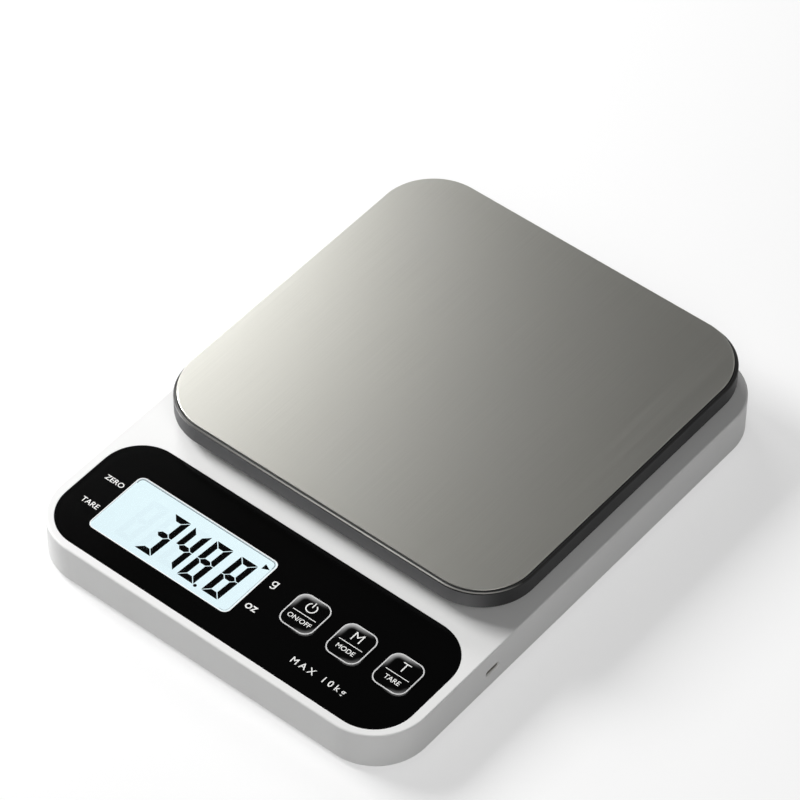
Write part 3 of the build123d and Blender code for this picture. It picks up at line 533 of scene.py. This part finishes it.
class SCALE_OT_casing(bpy.types.Operator):
    """Finishes the casing, its cover and its screws"""
    bl_idname = "scale.casing"
    bl_label = "Casing"

    def execute(self, context):
        colours = context.scene.scale_colours
        dress(moulded_white_abs(colours), "upper_housing")
        dress(spark_textured_abs(colours), "bottom_cover")
        dress(zinc_plate(), "housing_screws", "cell_bolts", "platform_bolts", "board_screws", "charge_screws")
        return {"FINISHED"}


class SCALE_OT_feet(bpy.types.Operator):
    """Makes the four rubber feet, with grip rings underneath"""
    bl_idname = "scale.feet"
    bl_label = "Rubber feet"

    rings: IntProperty(name="Rings", description="Grip rings under a foot", default=3)

    def execute(self, context):
        radius = 8.0 * MM
        groove = 0.5 * MM
        edge = 0.6 * MM
        pitch = (radius - edge) / (self.rings + 0.5)
        bm = bmesh.new()
        for x in (feet_low.x + radius, feet_high.x - radius):
            for y in (feet_low.y + radius, feet_high.y - radius):
                self.foot(bm, Vector((x, y, 0.0)), radius, groove, edge, pitch)
        bmesh.ops.remove_doubles(bm, verts=bm.verts, dist=0.001 * MM)
        material = moulded_rubber(context.scene.scale_colours)
        piece = piece_from_bmesh(bm, "grip_feet", material, "base")
        smooth_sides(piece)
        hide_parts("rubber_feet")
        return {"FINISHED"}

    def foot(self, bm, middle, radius, groove, edge, pitch):
        """One foot: its half section, from the middle of the underside to the top, spun round."""
        section = [(0.0, groove)]
        for i in range(self.rings):
            inner = pitch * (i + 0.5)
            section += [(inner, groove), (inner + groove / 2, 0.0), (inner + pitch - groove / 2, 0.0)]
            section += [(inner + pitch - groove / 4, groove)] if i < self.rings - 1 else []
        section[-1] = (radius - edge, 0.0)
        section += [(radius, edge), (radius, feet_high.z), (0.0, feet_high.z)]
        verts = [bm.verts.new(middle + Vector((r, 0.0, z))) for r, z in section]
        edges = [bm.edges.new(pair) for pair in zip(verts, verts[1:])]
        bmesh.ops.spin(bm, geom=verts + edges, cent=middle, axis=(0, 0, 1), angle=2 * pi, steps=48,
                       use_merge=True)


class SCALE_OT_panel(bpy.types.Operator):
    """Finishes the panel, the window and the display behind it"""
    bl_idname = "scale.panel"
    bl_label = "Control panel"

    def execute(self, context):
        colours = context.scene.scale_colours
        dress(printed_sheet(colours), "control_panel")
        dress(polished_acrylic(), "display_window")
        dress(lit_glass("lit_display_glass", colours.lit, DISPLAY_STRENGTH), "lcd_glass")
        dress(grained("white_foam", linear("#e9ecee"), 0.85, 0.5, 0.03, tint=0.04, patch=3.0), "lcd_gasket")
        return {"FINISHED"}


class SCALE_OT_reading(bpy.types.Operator):
    """Makes the seven-segment reading, its point and its unit marker"""
    bl_idname = "scale.reading"
    bl_label = "Display reading"

    BARS = {"0": "abcdef", "1": "bc", "2": "abdeg", "3": "abcdg", "4": "bcfg", "5": "acdfg",
            "6": "acdefg", "7": "abc", "8": "abcdefg", "9": "abcdfg", " ": ""}

    def execute(self, context):
        marks = context.scene.scale_marks
        colours = context.scene.scale_colours
        dark = display_ink(colours)
        faint = lit_glass("unlit_segments", shade(colours.lit, 0.965), DISPLAY_STRENGTH)
        digits = [c for c in marks.reading if c != "."]
        after = marks.reading.index(".") - 1 if "." in marks.reading else len(digits) - 1
        digits = [" "] * (marks.places - len(digits)) + digits
        after += len(digits) - len(marks.reading.replace(".", ""))
        right = lens_high.x - LENS_FLANGE - marks.right_margin
        front = lens_low.y + LENS_FLANGE + marks.front_margin
        for i, digit in enumerate(digits):
            steps = len(digits) - 1 - i
            left = right - marks.digit_width - steps * marks.digit_pitch
            left -= marks.point_room if i <= after else 0.0
            lit = self.BARS[digit]
            unlit = "".join(bar for bar in "abcdefg" if bar not in lit)
            self.digit(marks, lit, left, front, "display_digit_%d" % i, dark)
            self.digit(marks, unlit, left, front, "display_rest_%d" % i, faint)
            if i == after:
                self.point(marks, left + marks.digit_width + marks.point_room * 0.7, front, dark)
        self.marker(marks, dark)
        self.window_shade_lines(marks, colours)
        self.edge_light(marks)
        return {"FINISHED"}

    def window(self, margin):
        """Size of the lens inside its flange, less a margin all round."""
        inwards = 2 * (LENS_FLANGE + margin)
        return lens_high - lens_low - Vector((inwards, inwards, 0.0))

    def digit(self, marks, lit, left, front, name, material):
        """One digit: flat bars cut to mitres, leaned over and thickened."""
        if not lit:
            return
        w, h, t = marks.digit_width, marks.digit_height, marks.stroke
        gap = marks.mitre_gap / 2
        left_end, right_end = (t / 2, h / 2), (w - t / 2, h / 2)
        bars = {
            "a": ((0, h - t), (w, h), [((0, h), (-1, -1)), ((w, h), (1, -1))]),
            "d": ((0, 0), (w, t), [((0, 0), (-1, 1)), ((w, 0), (1, 1))]),
            "f": ((0, h / 2 + gap), (t, h), [((0, h), (1, 1)), (left_end, (1, -1))]),
            "b": ((w - t, h / 2 + gap), (w, h), [((w, h), (-1, 1)), (right_end, (-1, -1))]),
            "e": ((0, 0), (t, h / 2 - gap), [((0, 0), (1, -1)), (left_end, (1, 1))]),
            "c": ((w - t, 0), (w, h / 2 - gap), [((w, 0), (-1, -1)), (right_end, (-1, 1))]),
            "g": ((t / 2, (h - t) / 2), (w - t / 2, (h + t) / 2),
                  [(left_end, (-1, 1)), (left_end, (-1, -1)), (right_end, (1, 1)), (right_end, (1, -1))]),
        }
        bm = bmesh.new()
        for bar in lit:
            low, high, mitres = bars[bar]
            part = bmesh.new()
            flat_bar(part, low, high)
            for point, outwards in mitres:
                normal = Vector((*outwards, 0.0)).normalized()
                cut_off(part, Vector((*point, 0.0)) - normal * gap, normal)
            thicken(part, marks.ink)
            absorb(bm, part)
        lean = Matrix.Identity(4)
        lean[0][1] = sin(marks.slant) / cos(marks.slant)
        place = Matrix.Translation((left, front, glass_high.z))
        bmesh.ops.transform(bm, verts=bm.verts, matrix=place @ lean)
        piece_from_bmesh(bm, name, material, "base")

    def point(self, marks, x, front, material):
        """Round decimal point."""
        bm = bmesh.new()
        bmesh.ops.create_circle(bm, cap_ends=True, segments=24, radius=marks.point_diameter / 2)
        thicken(bm, marks.ink)
        bmesh.ops.translate(bm, verts=bm.verts, vec=(x, front, glass_high.z))
        piece_from_bmesh(bm, "display_point", material, "base")

    def marker(self, marks, material):
        """Small triangle that points at the unit."""
        radius = 1.9 * MM
        stretch = (1.05, 0.85, 1.0)
        x = lens_high.x - LENS_FLANGE - 4.3 * MM
        y = lens_high.y - LENS_FLANGE - 4.0 * MM
        bm = bmesh.new()
        bmesh.ops.create_circle(bm, cap_ends=True, segments=3, radius=radius)
        bmesh.ops.rotate(bm, verts=bm.verts, cent=(0, 0, 0), matrix=Matrix.Rotation(-pi / 2, 3, "Z"))
        bmesh.ops.scale(bm, verts=bm.verts, vec=stretch)
        thicken(bm, marks.ink)
        bmesh.ops.translate(bm, verts=bm.verts, vec=(x, y, glass_high.z))
        piece_from_bmesh(bm, "display_marker", material, "base")

    def window_shade_lines(self, marks, colours):
        """Painted shade inside the window: a grey line along the rear and round its corners, and a paler one
        at the right."""
        radius = 2.2 * MM
        corner = 3.2 * MM
        size = self.window(0.85 * MM)
        rear = ((0.0, size.y / 2 - corner, 0.0), (0, -1, 0))
        front = ((0.0, size.y / 2 - corner, 0.0), (0, 1, 0))
        right = ((size.x / 2 - corner, 0.0, 0.0), (-1, 0, 0))
        for name, tone, width, cuts in (("display_rear_painted_shade", colours.rear_shade_tone, 0.4, (rear,)),
                                        ("display_side_painted_shade", colours.side_shade_tone, 0.25, (front, right))):
            bm = bmesh.new()
            rounded_band(bm, size, radius, width * MM)
            for point, outwards in cuts:
                cut_off(bm, point, outwards)
            self.on_lens(bm, marks, name, screen_ink(name + "_ink", tone))

    def edge_light(self, marks):
        """Bright line round the window, where the lamp behind the display lights the lens's cut edge."""
        radius = 2.9 * MM
        width = 0.32 * MM
        bm = bmesh.new()
        rounded_band(bm, self.window(0.1 * MM), radius, width)
        self.on_lens(bm, marks, "display_edge_light", lit_glass("edge_lit_acrylic", linear("#fdfefe"), 1.0))

    def on_lens(self, bm, marks, name, material):
        """Thickens a flat line and lays it on the lens."""
        thicken(bm, marks.ink)
        middle = (lens_low + lens_high) / 2
        bmesh.ops.translate(bm, verts=bm.verts, vec=(middle.x, middle.y, lens_high.z))
        piece_from_bmesh(bm, name, material, "base")


class SCALE_OT_labels(bpy.types.Operator):
    """Prints the plain words and units round the display"""
    bl_idname = "scale.labels"
    bl_label = "Printed labels"

    def execute(self, context):
        marks = context.scene.scale_marks
        ink = screen_ink("white_screen_ink", context.scene.scale_colours.marks)
        top = panel_high.z
        right = lens_high.x - LENS_FLANGE
        left = lens_low.x + LENS_FLANGE
        rear = lens_high.y - LENS_FLANGE
        rows = (rear - 9.0 * MM, rear - 23.0 * MM)
        gram_place = Vector((right + 4.75 * MM, rows[0] + 0.1 * MM, top))
        ounce_place = (right + 5.2 * MM, rows[1] - 0.3 * MM, top)
        word_x = left - 5.9 * MM
        note_place = (47.3 * MM, panel_low.y + 9.7 * MM, top)
        self.gram(marks, gram_place, ink)
        lettering("oz", marks.unit_height, ounce_place, "unit_oz", ink, "base", marks.ink)
        for word, y in zip(("ZERO", "TARE"), rows):
            lettering(word, marks.label_height, (word_x, y, top), "label_" + word.lower(), ink, "base",
                      marks.ink)
        lettering("MAX 10kg", marks.note_height, note_place, "label_capacity", ink, "base",
                  marks.ink, spacing=1.55)
        return {"FINISHED"}

    def gram(self, marks, middle, material):
        """Single-storey g: a ring, a hook below and a bar down its right side, each a little lower than the
        last, so that no two faces coincide."""
        radius = marks.unit_height * 0.38
        stroke = 0.5 * MM
        drop = radius * 1.45
        bm = bmesh.new()
        for height, drawn in ((1.0, 0.0), (0.8, -drop)):
            part = bmesh.new()
            centre = Vector((0.0, drawn, 0.0))
            ends = [Vector((radius + side * stroke / 2, 0.0, 0.0)) for side in (-1, 1)]
            verts = [part.verts.new(centre + end) for end in ends]
            sweep = -0.8 * pi if drawn else 2 * pi
            bmesh.ops.spin(part, geom=verts + [part.edges.new(verts)], cent=centre, axis=(0, 0, 1),
                           angle=sweep, steps=32, use_merge=not drawn)
            thicken(part, marks.ink * height)
            absorb(bm, part)
        part = bmesh.new()
        flat_bar(part, (radius - stroke / 2, -drop), (radius + stroke / 2, radius + stroke / 2))
        thicken(part, marks.ink * 0.6)
        absorb(bm, part)
        bmesh.ops.translate(bm, verts=bm.verts, vec=middle)
        piece_from_bmesh(bm, "unit_g", material, "base")


class SCALE_OT_keys(bpy.types.Operator):
    """Finishes the three keys and prints their outlines, signs and words"""
    bl_idname = "scale.keys"
    bl_label = "Keys"

    def execute(self, context):
        marks = context.scene.scale_marks
        colours = context.scene.scale_colours
        ink = screen_ink("white_key_ink", colours.marks)
        silver = screen_ink("silver_key_ink", colours.outline)
        for key in KEYS:
            low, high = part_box(key + "_button")
            body = key + "_key"
            dress(key_cap_painted_highlight("gloss_key_painted_highlight_" + key, colours, low, high), key + "_button")
            top = Vector(((low.x + high.x) / 2, (low.y + high.y) / 2, high.z))
            self.outline(marks, high - low, top, key, silver, body)
            self.divider(marks, top, key, ink, body)
            apart = Vector((0.0, 3.6 * MM, 0.0))
            if key in KEY_LETTERS:
                lettering(KEY_LETTERS[key], marks.letter_height, top + apart, key + "_letter", ink, body,
                          marks.ink, weight=-0.01)
            else:
                self.power_sign(marks, top + apart, key, ink, body)
            lettering(KEY_WORDS[key], marks.word_height, top - apart, key + "_word", ink, body,
                      marks.ink)
        return {"FINISHED"}

    def outline(self, marks, size, top, key, material, body):
        """Silver line round the top of a key: a rounded frame with soft edges."""
        margin = 1.2 * MM
        corner = 4.3 * MM
        bm = bmesh.new()
        rounded_band(bm, size - Vector((2 * margin, 2 * margin, 0.0)), corner, marks.outline_width)
        thicken(bm, marks.ink)
        bmesh.ops.translate(bm, verts=bm.verts, vec=top)
        piece_from_bmesh(bm, key + "_outline", material, body)

    def divider(self, marks, top, key, material, body):
        """Line between a key's sign and its word."""
        drop = Vector((0.0, 0.6 * MM, 0.0))
        half = Vector((marks.divider_length / 2, marks.divider_width / 2))
        bm = bmesh.new()
        flat_bar(bm, (-half.x, -half.y), (half.x, half.y))
        thicken(bm, marks.ink)
        bmesh.ops.translate(bm, verts=bm.verts, vec=top - drop)
        piece_from_bmesh(bm, key + "_divider", material, body)

    def power_sign(self, marks, middle, key, material, body):
        """Open ring with an upright bar: a short line spun round, and a flat bar."""
        stroke = 0.5 * MM
        radius = 2.2 * MM
        opening = radians(62)
        bar_foot = 0.35 * MM
        bar_head = radius + 0.75 * MM
        bm = bmesh.new()
        verts = [bm.verts.new((0.0, radius + side * stroke / 2, 0.0)) for side in (-1, 1)]
        line = bm.edges.new(verts)
        bmesh.ops.rotate(bm, verts=verts, cent=(0, 0, 0), matrix=Matrix.Rotation(opening / 2, 3, "Z"))
        bmesh.ops.spin(bm, geom=verts + [line], cent=(0, 0, 0), axis=(0, 0, 1), angle=2 * pi - opening,
                       steps=40)
        flat_bar(bm, (-stroke / 2, bar_foot), (stroke / 2, bar_head))
        thicken(bm, marks.ink)
        bmesh.ops.translate(bm, verts=bm.verts, vec=middle)
        piece_from_bmesh(bm, key + "_sign", material, body)


class SCALE_OT_platform(bpy.types.Operator):
    """Finishes the tray and the brushed plate, makes the steel's lip, and lays painted shade and a painted
    reflection on the tray's edge
    """
    bl_idname = "scale.platform"
    bl_label = "Platform"

    def execute(self, context):
        colours = context.scene.scale_colours
        steel = brushed_stainless(colours)
        dress(matt_grey_abs(colours), "platform_tray")
        dress(steel, "steel_plate")
        self.lip(steel)
        # Painted shade: a near-black line along the tray's outer edge and one in the gap inside its bevel
        lacquer = painted_edge_shade(colours)
        self.band("tray_edge_painted_shade", 0.0, 0.38, TRAY_SLOPE, lacquer, "dark_tray")
        self.band("tray_bevel_painted_reflection", 0.4, 0.44, TRAY_SLOPE, bevel_painted_reflection(colours), "brushed_stainless")
        self.band("tray_rim_painted_shade", TRAY_BEVEL, 0.44, 0.0, lacquer, "dark_tray")
        return {"FINISHED"}

    def lip(self, material):
        """Edge of the steel that reaches over the tray's rim on the left and at the rear; the rest of it lies
        hidden in the plate."""
        low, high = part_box("platform_tray")
        over = 0.02 * MM
        hidden = 0.1 * MM
        edge_round = 0.3 * MM
        bottom = high.z - TRAY_BEVEL * TRAY_SLOPE * MM
        top = plate_high.z - 0.03 * MM
        bm = bmesh.new()
        rounded_sheet(bm, (low.x - over, plate_low.y + hidden), (plate_high.x - hidden, high.y + over),
                      TRAY_CORNER * MM, LARGE_ROUND_STEPS)
        thicken(bm, top - bottom)
        upper = [edge for edge in bm.edges if all(vert.co.z > 0.0 for vert in edge.verts)]
        bmesh.ops.bevel(bm, geom=upper, offset=edge_round, offset_type="OFFSET", segments=4, profile=0.5,
                        affect="EDGES", material=-1)
        bmesh.ops.translate(bm, verts=bm.verts, vec=(0.0, 0.0, bottom))
        smooth_sides(piece_from_bmesh(bm, "steel_lip", material, "platform"))

    def band(self, name, inset, width, slope, material, slot):
        """Narrow band laid on the bevel round the tray, or on the rim inside it. inset and width are in
        millimetres."""
        low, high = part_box("platform_tray")
        coat = 0.04 * MM
        inwards = Vector((2 * inset, 2 * inset, 0.0)) * MM
        drop = (TRAY_BEVEL - inset) * slope * MM
        middle = (low + high) / 2
        bm = bmesh.new()
        rounded_band(bm, high - low - inwards, (TRAY_CORNER - inset) * MM, width * MM,
                     rise=width * slope * MM, steps=LARGE_ROUND_STEPS)
        thicken(bm, coat)
        bmesh.ops.translate(bm, verts=bm.verts, vec=(middle.x, middle.y, high.z - drop))
        piece_from_bmesh(bm, name, material, "platform")


class SCALE_OT_socket(bpy.types.Operator):
    """Finishes the charging socket and lays the contacts on its tongue"""
    bl_idname = "scale.socket"
    bl_label = "Charging socket"

    contacts: IntProperty(name="Contacts", description="Contacts on the tongue", default=5)

    def execute(self, context):
        dress(stamped_nickel(), "charge_socket")
        dress(grained("moulded_pale_nylon", linear("#c9c9c5"), 0.5, 0.3, 0.004, tint=0.1, patch=2.0),
              "socket_tongue")
        pitch = 0.65 * MM
        half_width = 0.16 * MM
        inner_end = tongue_low.x + 1.0 * MM
        outer_end = tongue_high.x - 0.15 * MM
        thickness = 0.06 * MM
        middle = (tongue_low + tongue_high) / 2
        bm = bmesh.new()
        for i in range(self.contacts):
            y = middle.y + (i - (self.contacts - 1) / 2) * pitch
            flat_bar(bm, (inner_end, y - half_width), (outer_end, y + half_width))
        thicken(bm, thickness)
        bmesh.ops.translate(bm, verts=bm.verts, vec=(0.0, 0.0, middle.z - 0.05 * MM))
        piece_from_bmesh(bm, "socket_contacts", gold_plate(), "base")
        return {"FINISHED"}


class SCALE_OT_inner(bpy.types.Operator):
    """Finishes the pieces inside the casing"""
    bl_idname = "scale.inner"
    bl_label = "Inner pieces"

    # Each finish: its name, colour, roughness, grain, relief, tint and patch as grained() takes them,
    # its other settings, and the nodes that have it
    FINISHES = (
        # Glass laminate under green solder mask: glossy, with the weave just showing
        ("solder_masked_laminate", "#14562f", 0.35, 0.6, 0.01, 0.15, 4.0, {}, ("main_board", "charge_board")),
        # Moulded epoxy: flat black with a fine matt grain
        ("moulded_epoxy", "#1b1b1c", 0.6, 0.2, 0.006, 0.1, 3.0, {},
         ("controller_chip", "converter_chip", "charger_chip")),
        # Drawn aluminium cans: bright, with soft drawing marks
        ("drawn_aluminium", "#c8cacc", 0.3, 0.4, 0.003, 0.05, 2.0, {"metallic": 1.0}, ("board_capacitors",)),
        # Natural nylon: creamy and faintly translucent to the eye
        ("natural_nylon", "#ece6d6", 0.45, 0.4, 0.004, 0.04, 3.0, {"ior": 1.53},
         ("lead_socket", "backlight_leds")),
        # Black moulded switch plastic: satin
        ("moulded_switch_plastic", "#1e1e1e", 0.45, 0.3, 0.004, 0.08, 3.0, {},
         ("switch_bodies", *[key + "_plunger" for key in KEYS])),
        # Diffusing acrylic: milky and glossy
        ("diffusing_acrylic", "#f2f6fa", 0.25, 1.2, 0.004, 0.02, 8.0, {"ior": 1.49}, ("backlight_guide",)),
        # Tinned pins: soft bright grey
        ("tinned_steel", "#cccac4", 0.32, 0.2, 0.002, 0.06, 1.0, {"metallic": 1.0}, ("lcd_pins",)),
        # Laminated foil pouch: silvery with shallow creases
        ("foil_pouch", "#cfd1d3", 0.3, 3.0, 0.05, 0.04, 9.0, {"metallic": 1.0}, ("battery_cell",)),
        # Foam tape: dull white with open pores
        ("foam_tape", "#ecebe6", 0.9, 0.6, 0.05, 0.04, 3.0, {}, ("battery_tape",)),
        # Milled aluminium: pale grey with fine cutter marks
        ("milled_aluminium", "#d3d5d8", 0.34, 0.5, 0.006, 0.05, 6.0, {"metallic": 1.0},
         ("load_cell", "platform_spacer")),
        # Cured silicone: white, soft and slightly lumpy
        ("cured_silicone", "#eeeeee", 0.4, 1.5, 0.06, 0.03, 4.0, {"ior": 1.41}, ("gauge_coats",)),
        # Transfer adhesive: a yellowish film
        ("transfer_adhesive", "#dfd8bb", 0.4, 1.0, 0.01, 0.04, 6.0, {"ior": 1.47}, ("plate_adhesive",)),
        # Extruded sleeves: soft red plastic
        ("extruded_sleeve", "#a8231c", 0.45, 0.4, 0.004, 0.06, 5.0, {},
         ("cell_leads", "battery_leads", "power_leads")),
    )

    def execute(self, context):
        for name, code, roughness, grain, relief, tint, patch, other, nodes in self.FINISHES:
            finish = grained(name, linear(code), roughness, grain, relief, tint=tint, patch=patch, **other)
            dress(finish, *nodes)
        return {"FINISHED"}


class SCALE_OT_stage(bpy.types.Operator):
    """Lays the floor and sets the lamps, the sky and the camera"""
    bl_idname = "scale.stage"
    bl_label = "Studio"

    def execute(self, context):
        studio = context.scene.scale_studio
        self.floor()
        self.sky(context, studio)
        softboxes = (
            ("key_softbox", studio.key_power, (-1.12, -0.17, 0.83), 0.60, (0.0, 0.0, 0.02)),
            ("sheen_softbox", studio.sheen_power, (-0.768, 0.475, 0.612), 0.40, (0.0, 0.03, 0.03)),
            ("fill_softbox", studio.fill_power, (0.80, -0.62, 0.80), 0.80, (0.0, 0.0, 0.02)),
        )
        for name, watts, place, side, aim in softboxes:
            self.lamp(name, watts, place, side, aim)
        self.camera(context, studio)
        context.scene.view_settings.view_transform = "Standard"
        return {"FINISHED"}

    def floor(self):
        """Wide white floor; seen directly it is lifted to white, and it keeps the shadow."""
        reach = 6.0
        lift = 0.50
        bm = bmesh.new()
        bmesh.ops.create_grid(bm, x_segments=1, y_segments=1, size=reach)
        mesh = bpy.data.meshes.new("floor")
        bm.to_mesh(mesh)
        bm.free()
        floor = bpy.data.objects.new("floor", mesh)
        bpy.context.scene.collection.objects.link(floor)
        material, tree = new_material("white_floor")
        diffuse = add_node(tree, "BsdfDiffuse", {"Color": linear("#bebebe")})
        share = add_node(tree, "Math", {0: seen_directly(tree), 1: lift}, operation="MULTIPLY")
        glow = add_node(tree, "Emission", {"Color": (1.0, 1.0, 1.0, 1.0), "Strength": share})
        surface = add_node(tree, "AddShader", {0: diffuse, 1: glow})
        add_node(tree, "OutputMaterial", {"Surface": surface})
        mesh.materials.append(material)

    def sky(self, context, studio):
        """Even soft light from all round, and a white backdrop above the floor for what looks at it or
        mirrors it. The side where the lamps stand is left open."""
        world = bpy.data.worlds.new("studio_sky")
        world.use_nodes = True
        tree = world.node_tree
        tree.nodes.clear()
        way = add_node(tree, "TexCoord").outputs["Generated"]
        lean = add_node(tree, "VectorMath", {0: way, 1: BACKDROP_LEAN}, operation="DOT_PRODUCT")
        apart = add_node(tree, "SeparateXYZ", {0: way})
        wall = seen_directly(tree)
        for value, fade, least, most in ((lean, BACKDROP_EDGE, 0.0, studio.backdrop),
                                         (apart.outputs["Y"], BACKDROP_SIDES, BACKDROP_FRONT, 1.0)):
            share = add_node(tree, "MapRange", {0: value, 1: fade[0], 2: fade[1], 3: least, 4: most},
                             interpolation_type="SMOOTHSTEP")
            wall = add_node(tree, "Math", {0: wall, 1: share}, operation="MULTIPLY")
        strength = add_node(tree, "Math", {0: wall, 1: studio.sky}, operation="ADD")
        light = add_node(tree, "Background", {"Color": (1.0, 1.0, 1.0, 1.0), "Strength": strength})
        add_node(tree, "OutputWorld", {"Surface": light})
        context.scene.world = world

    def lamp(self, name, watts, place, side, aim):
        """A square softbox that faces a point."""
        light = bpy.data.lights.new(name, "AREA")
        light.shape = "SQUARE"
        light.size = side
        light.energy = watts
        lamp = bpy.data.objects.new(name, light)
        lamp.location = place
        lamp.rotation_euler = (Vector(aim) - Vector(place)).to_track_quat("-Z", "Y").to_euler()
        bpy.context.scene.collection.objects.link(lamp)

    def camera(self, context, studio):
        """Long lens from the front right, level with the horizon."""
        a, e = studio.azimuth, studio.elevation
        right = Vector((cos(a), sin(a), 0.0))
        back = Vector((sin(a) * cos(e), -cos(a) * cos(e), sin(e)))
        up = back.cross(right)
        aim = Vector((-9.72, 11.03, 32.76)) * MM
        turn = Matrix((right, up, back)).transposed().to_4x4()
        camera = bpy.data.objects.new("camera", bpy.data.cameras.new("camera"))
        camera.data.lens = studio.lens
        camera.data.sensor_width = 36.0
        camera.data.clip_end = 20.0
        camera.matrix_world = Matrix.Translation(aim + back * studio.distance) @ turn
        context.scene.collection.objects.link(camera)
        context.scene.camera = camera


class SCALE_PT_sidebar(bpy.types.Panel):
    """Lists the scale's sizes, colours and steps"""
    bl_idname = "SCALE_PT_sidebar"
    bl_label = "Kitchen scale"
    bl_space_type = "VIEW_3D"
    bl_region_type = "UI"
    bl_category = "Scale"

    def draw(self, context):
        layout = self.layout
        for group in (context.scene.scale_colours, context.scene.scale_marks, context.scene.scale_studio):
            for name in group.__annotations__:
                layout.prop(group, name)
        for step in STEPS:
            layout.operator(step.bl_idname)


GROUPS = {"scale_colours": ScaleColours, "scale_marks": ScaleMarks, "scale_studio": ScaleStudio}
STEPS = (SCALE_OT_casing, SCALE_OT_feet, SCALE_OT_panel, SCALE_OT_reading, SCALE_OT_labels, SCALE_OT_keys,
         SCALE_OT_platform, SCALE_OT_socket, SCALE_OT_inner, SCALE_OT_stage)


def register():
    for name, group in GROUPS.items():
        bpy.utils.register_class(group)
        setattr(bpy.types.Scene, name, PointerProperty(type=group))
    for step in STEPS:
        bpy.utils.register_class(step)
    bpy.utils.register_class(SCALE_PT_sidebar)


def unregister():
    bpy.utils.unregister_class(SCALE_PT_sidebar)
    for step in reversed(STEPS):
        bpy.utils.unregister_class(step)
    for name, group in GROUPS.items():
        delattr(bpy.types.Scene, name)
        bpy.utils.unregister_class(group)


def main():
    register()
    bpy.ops.scale.casing()
    bpy.ops.scale.feet()
    bpy.ops.scale.panel()
    bpy.ops.scale.reading()
    bpy.ops.scale.labels()
    bpy.ops.scale.keys()
    bpy.ops.scale.platform()
    bpy.ops.scale.socket()
    bpy.ops.scale.inner()
    bpy.ops.scale.stage()


if __name__ == "__main__":
    main()
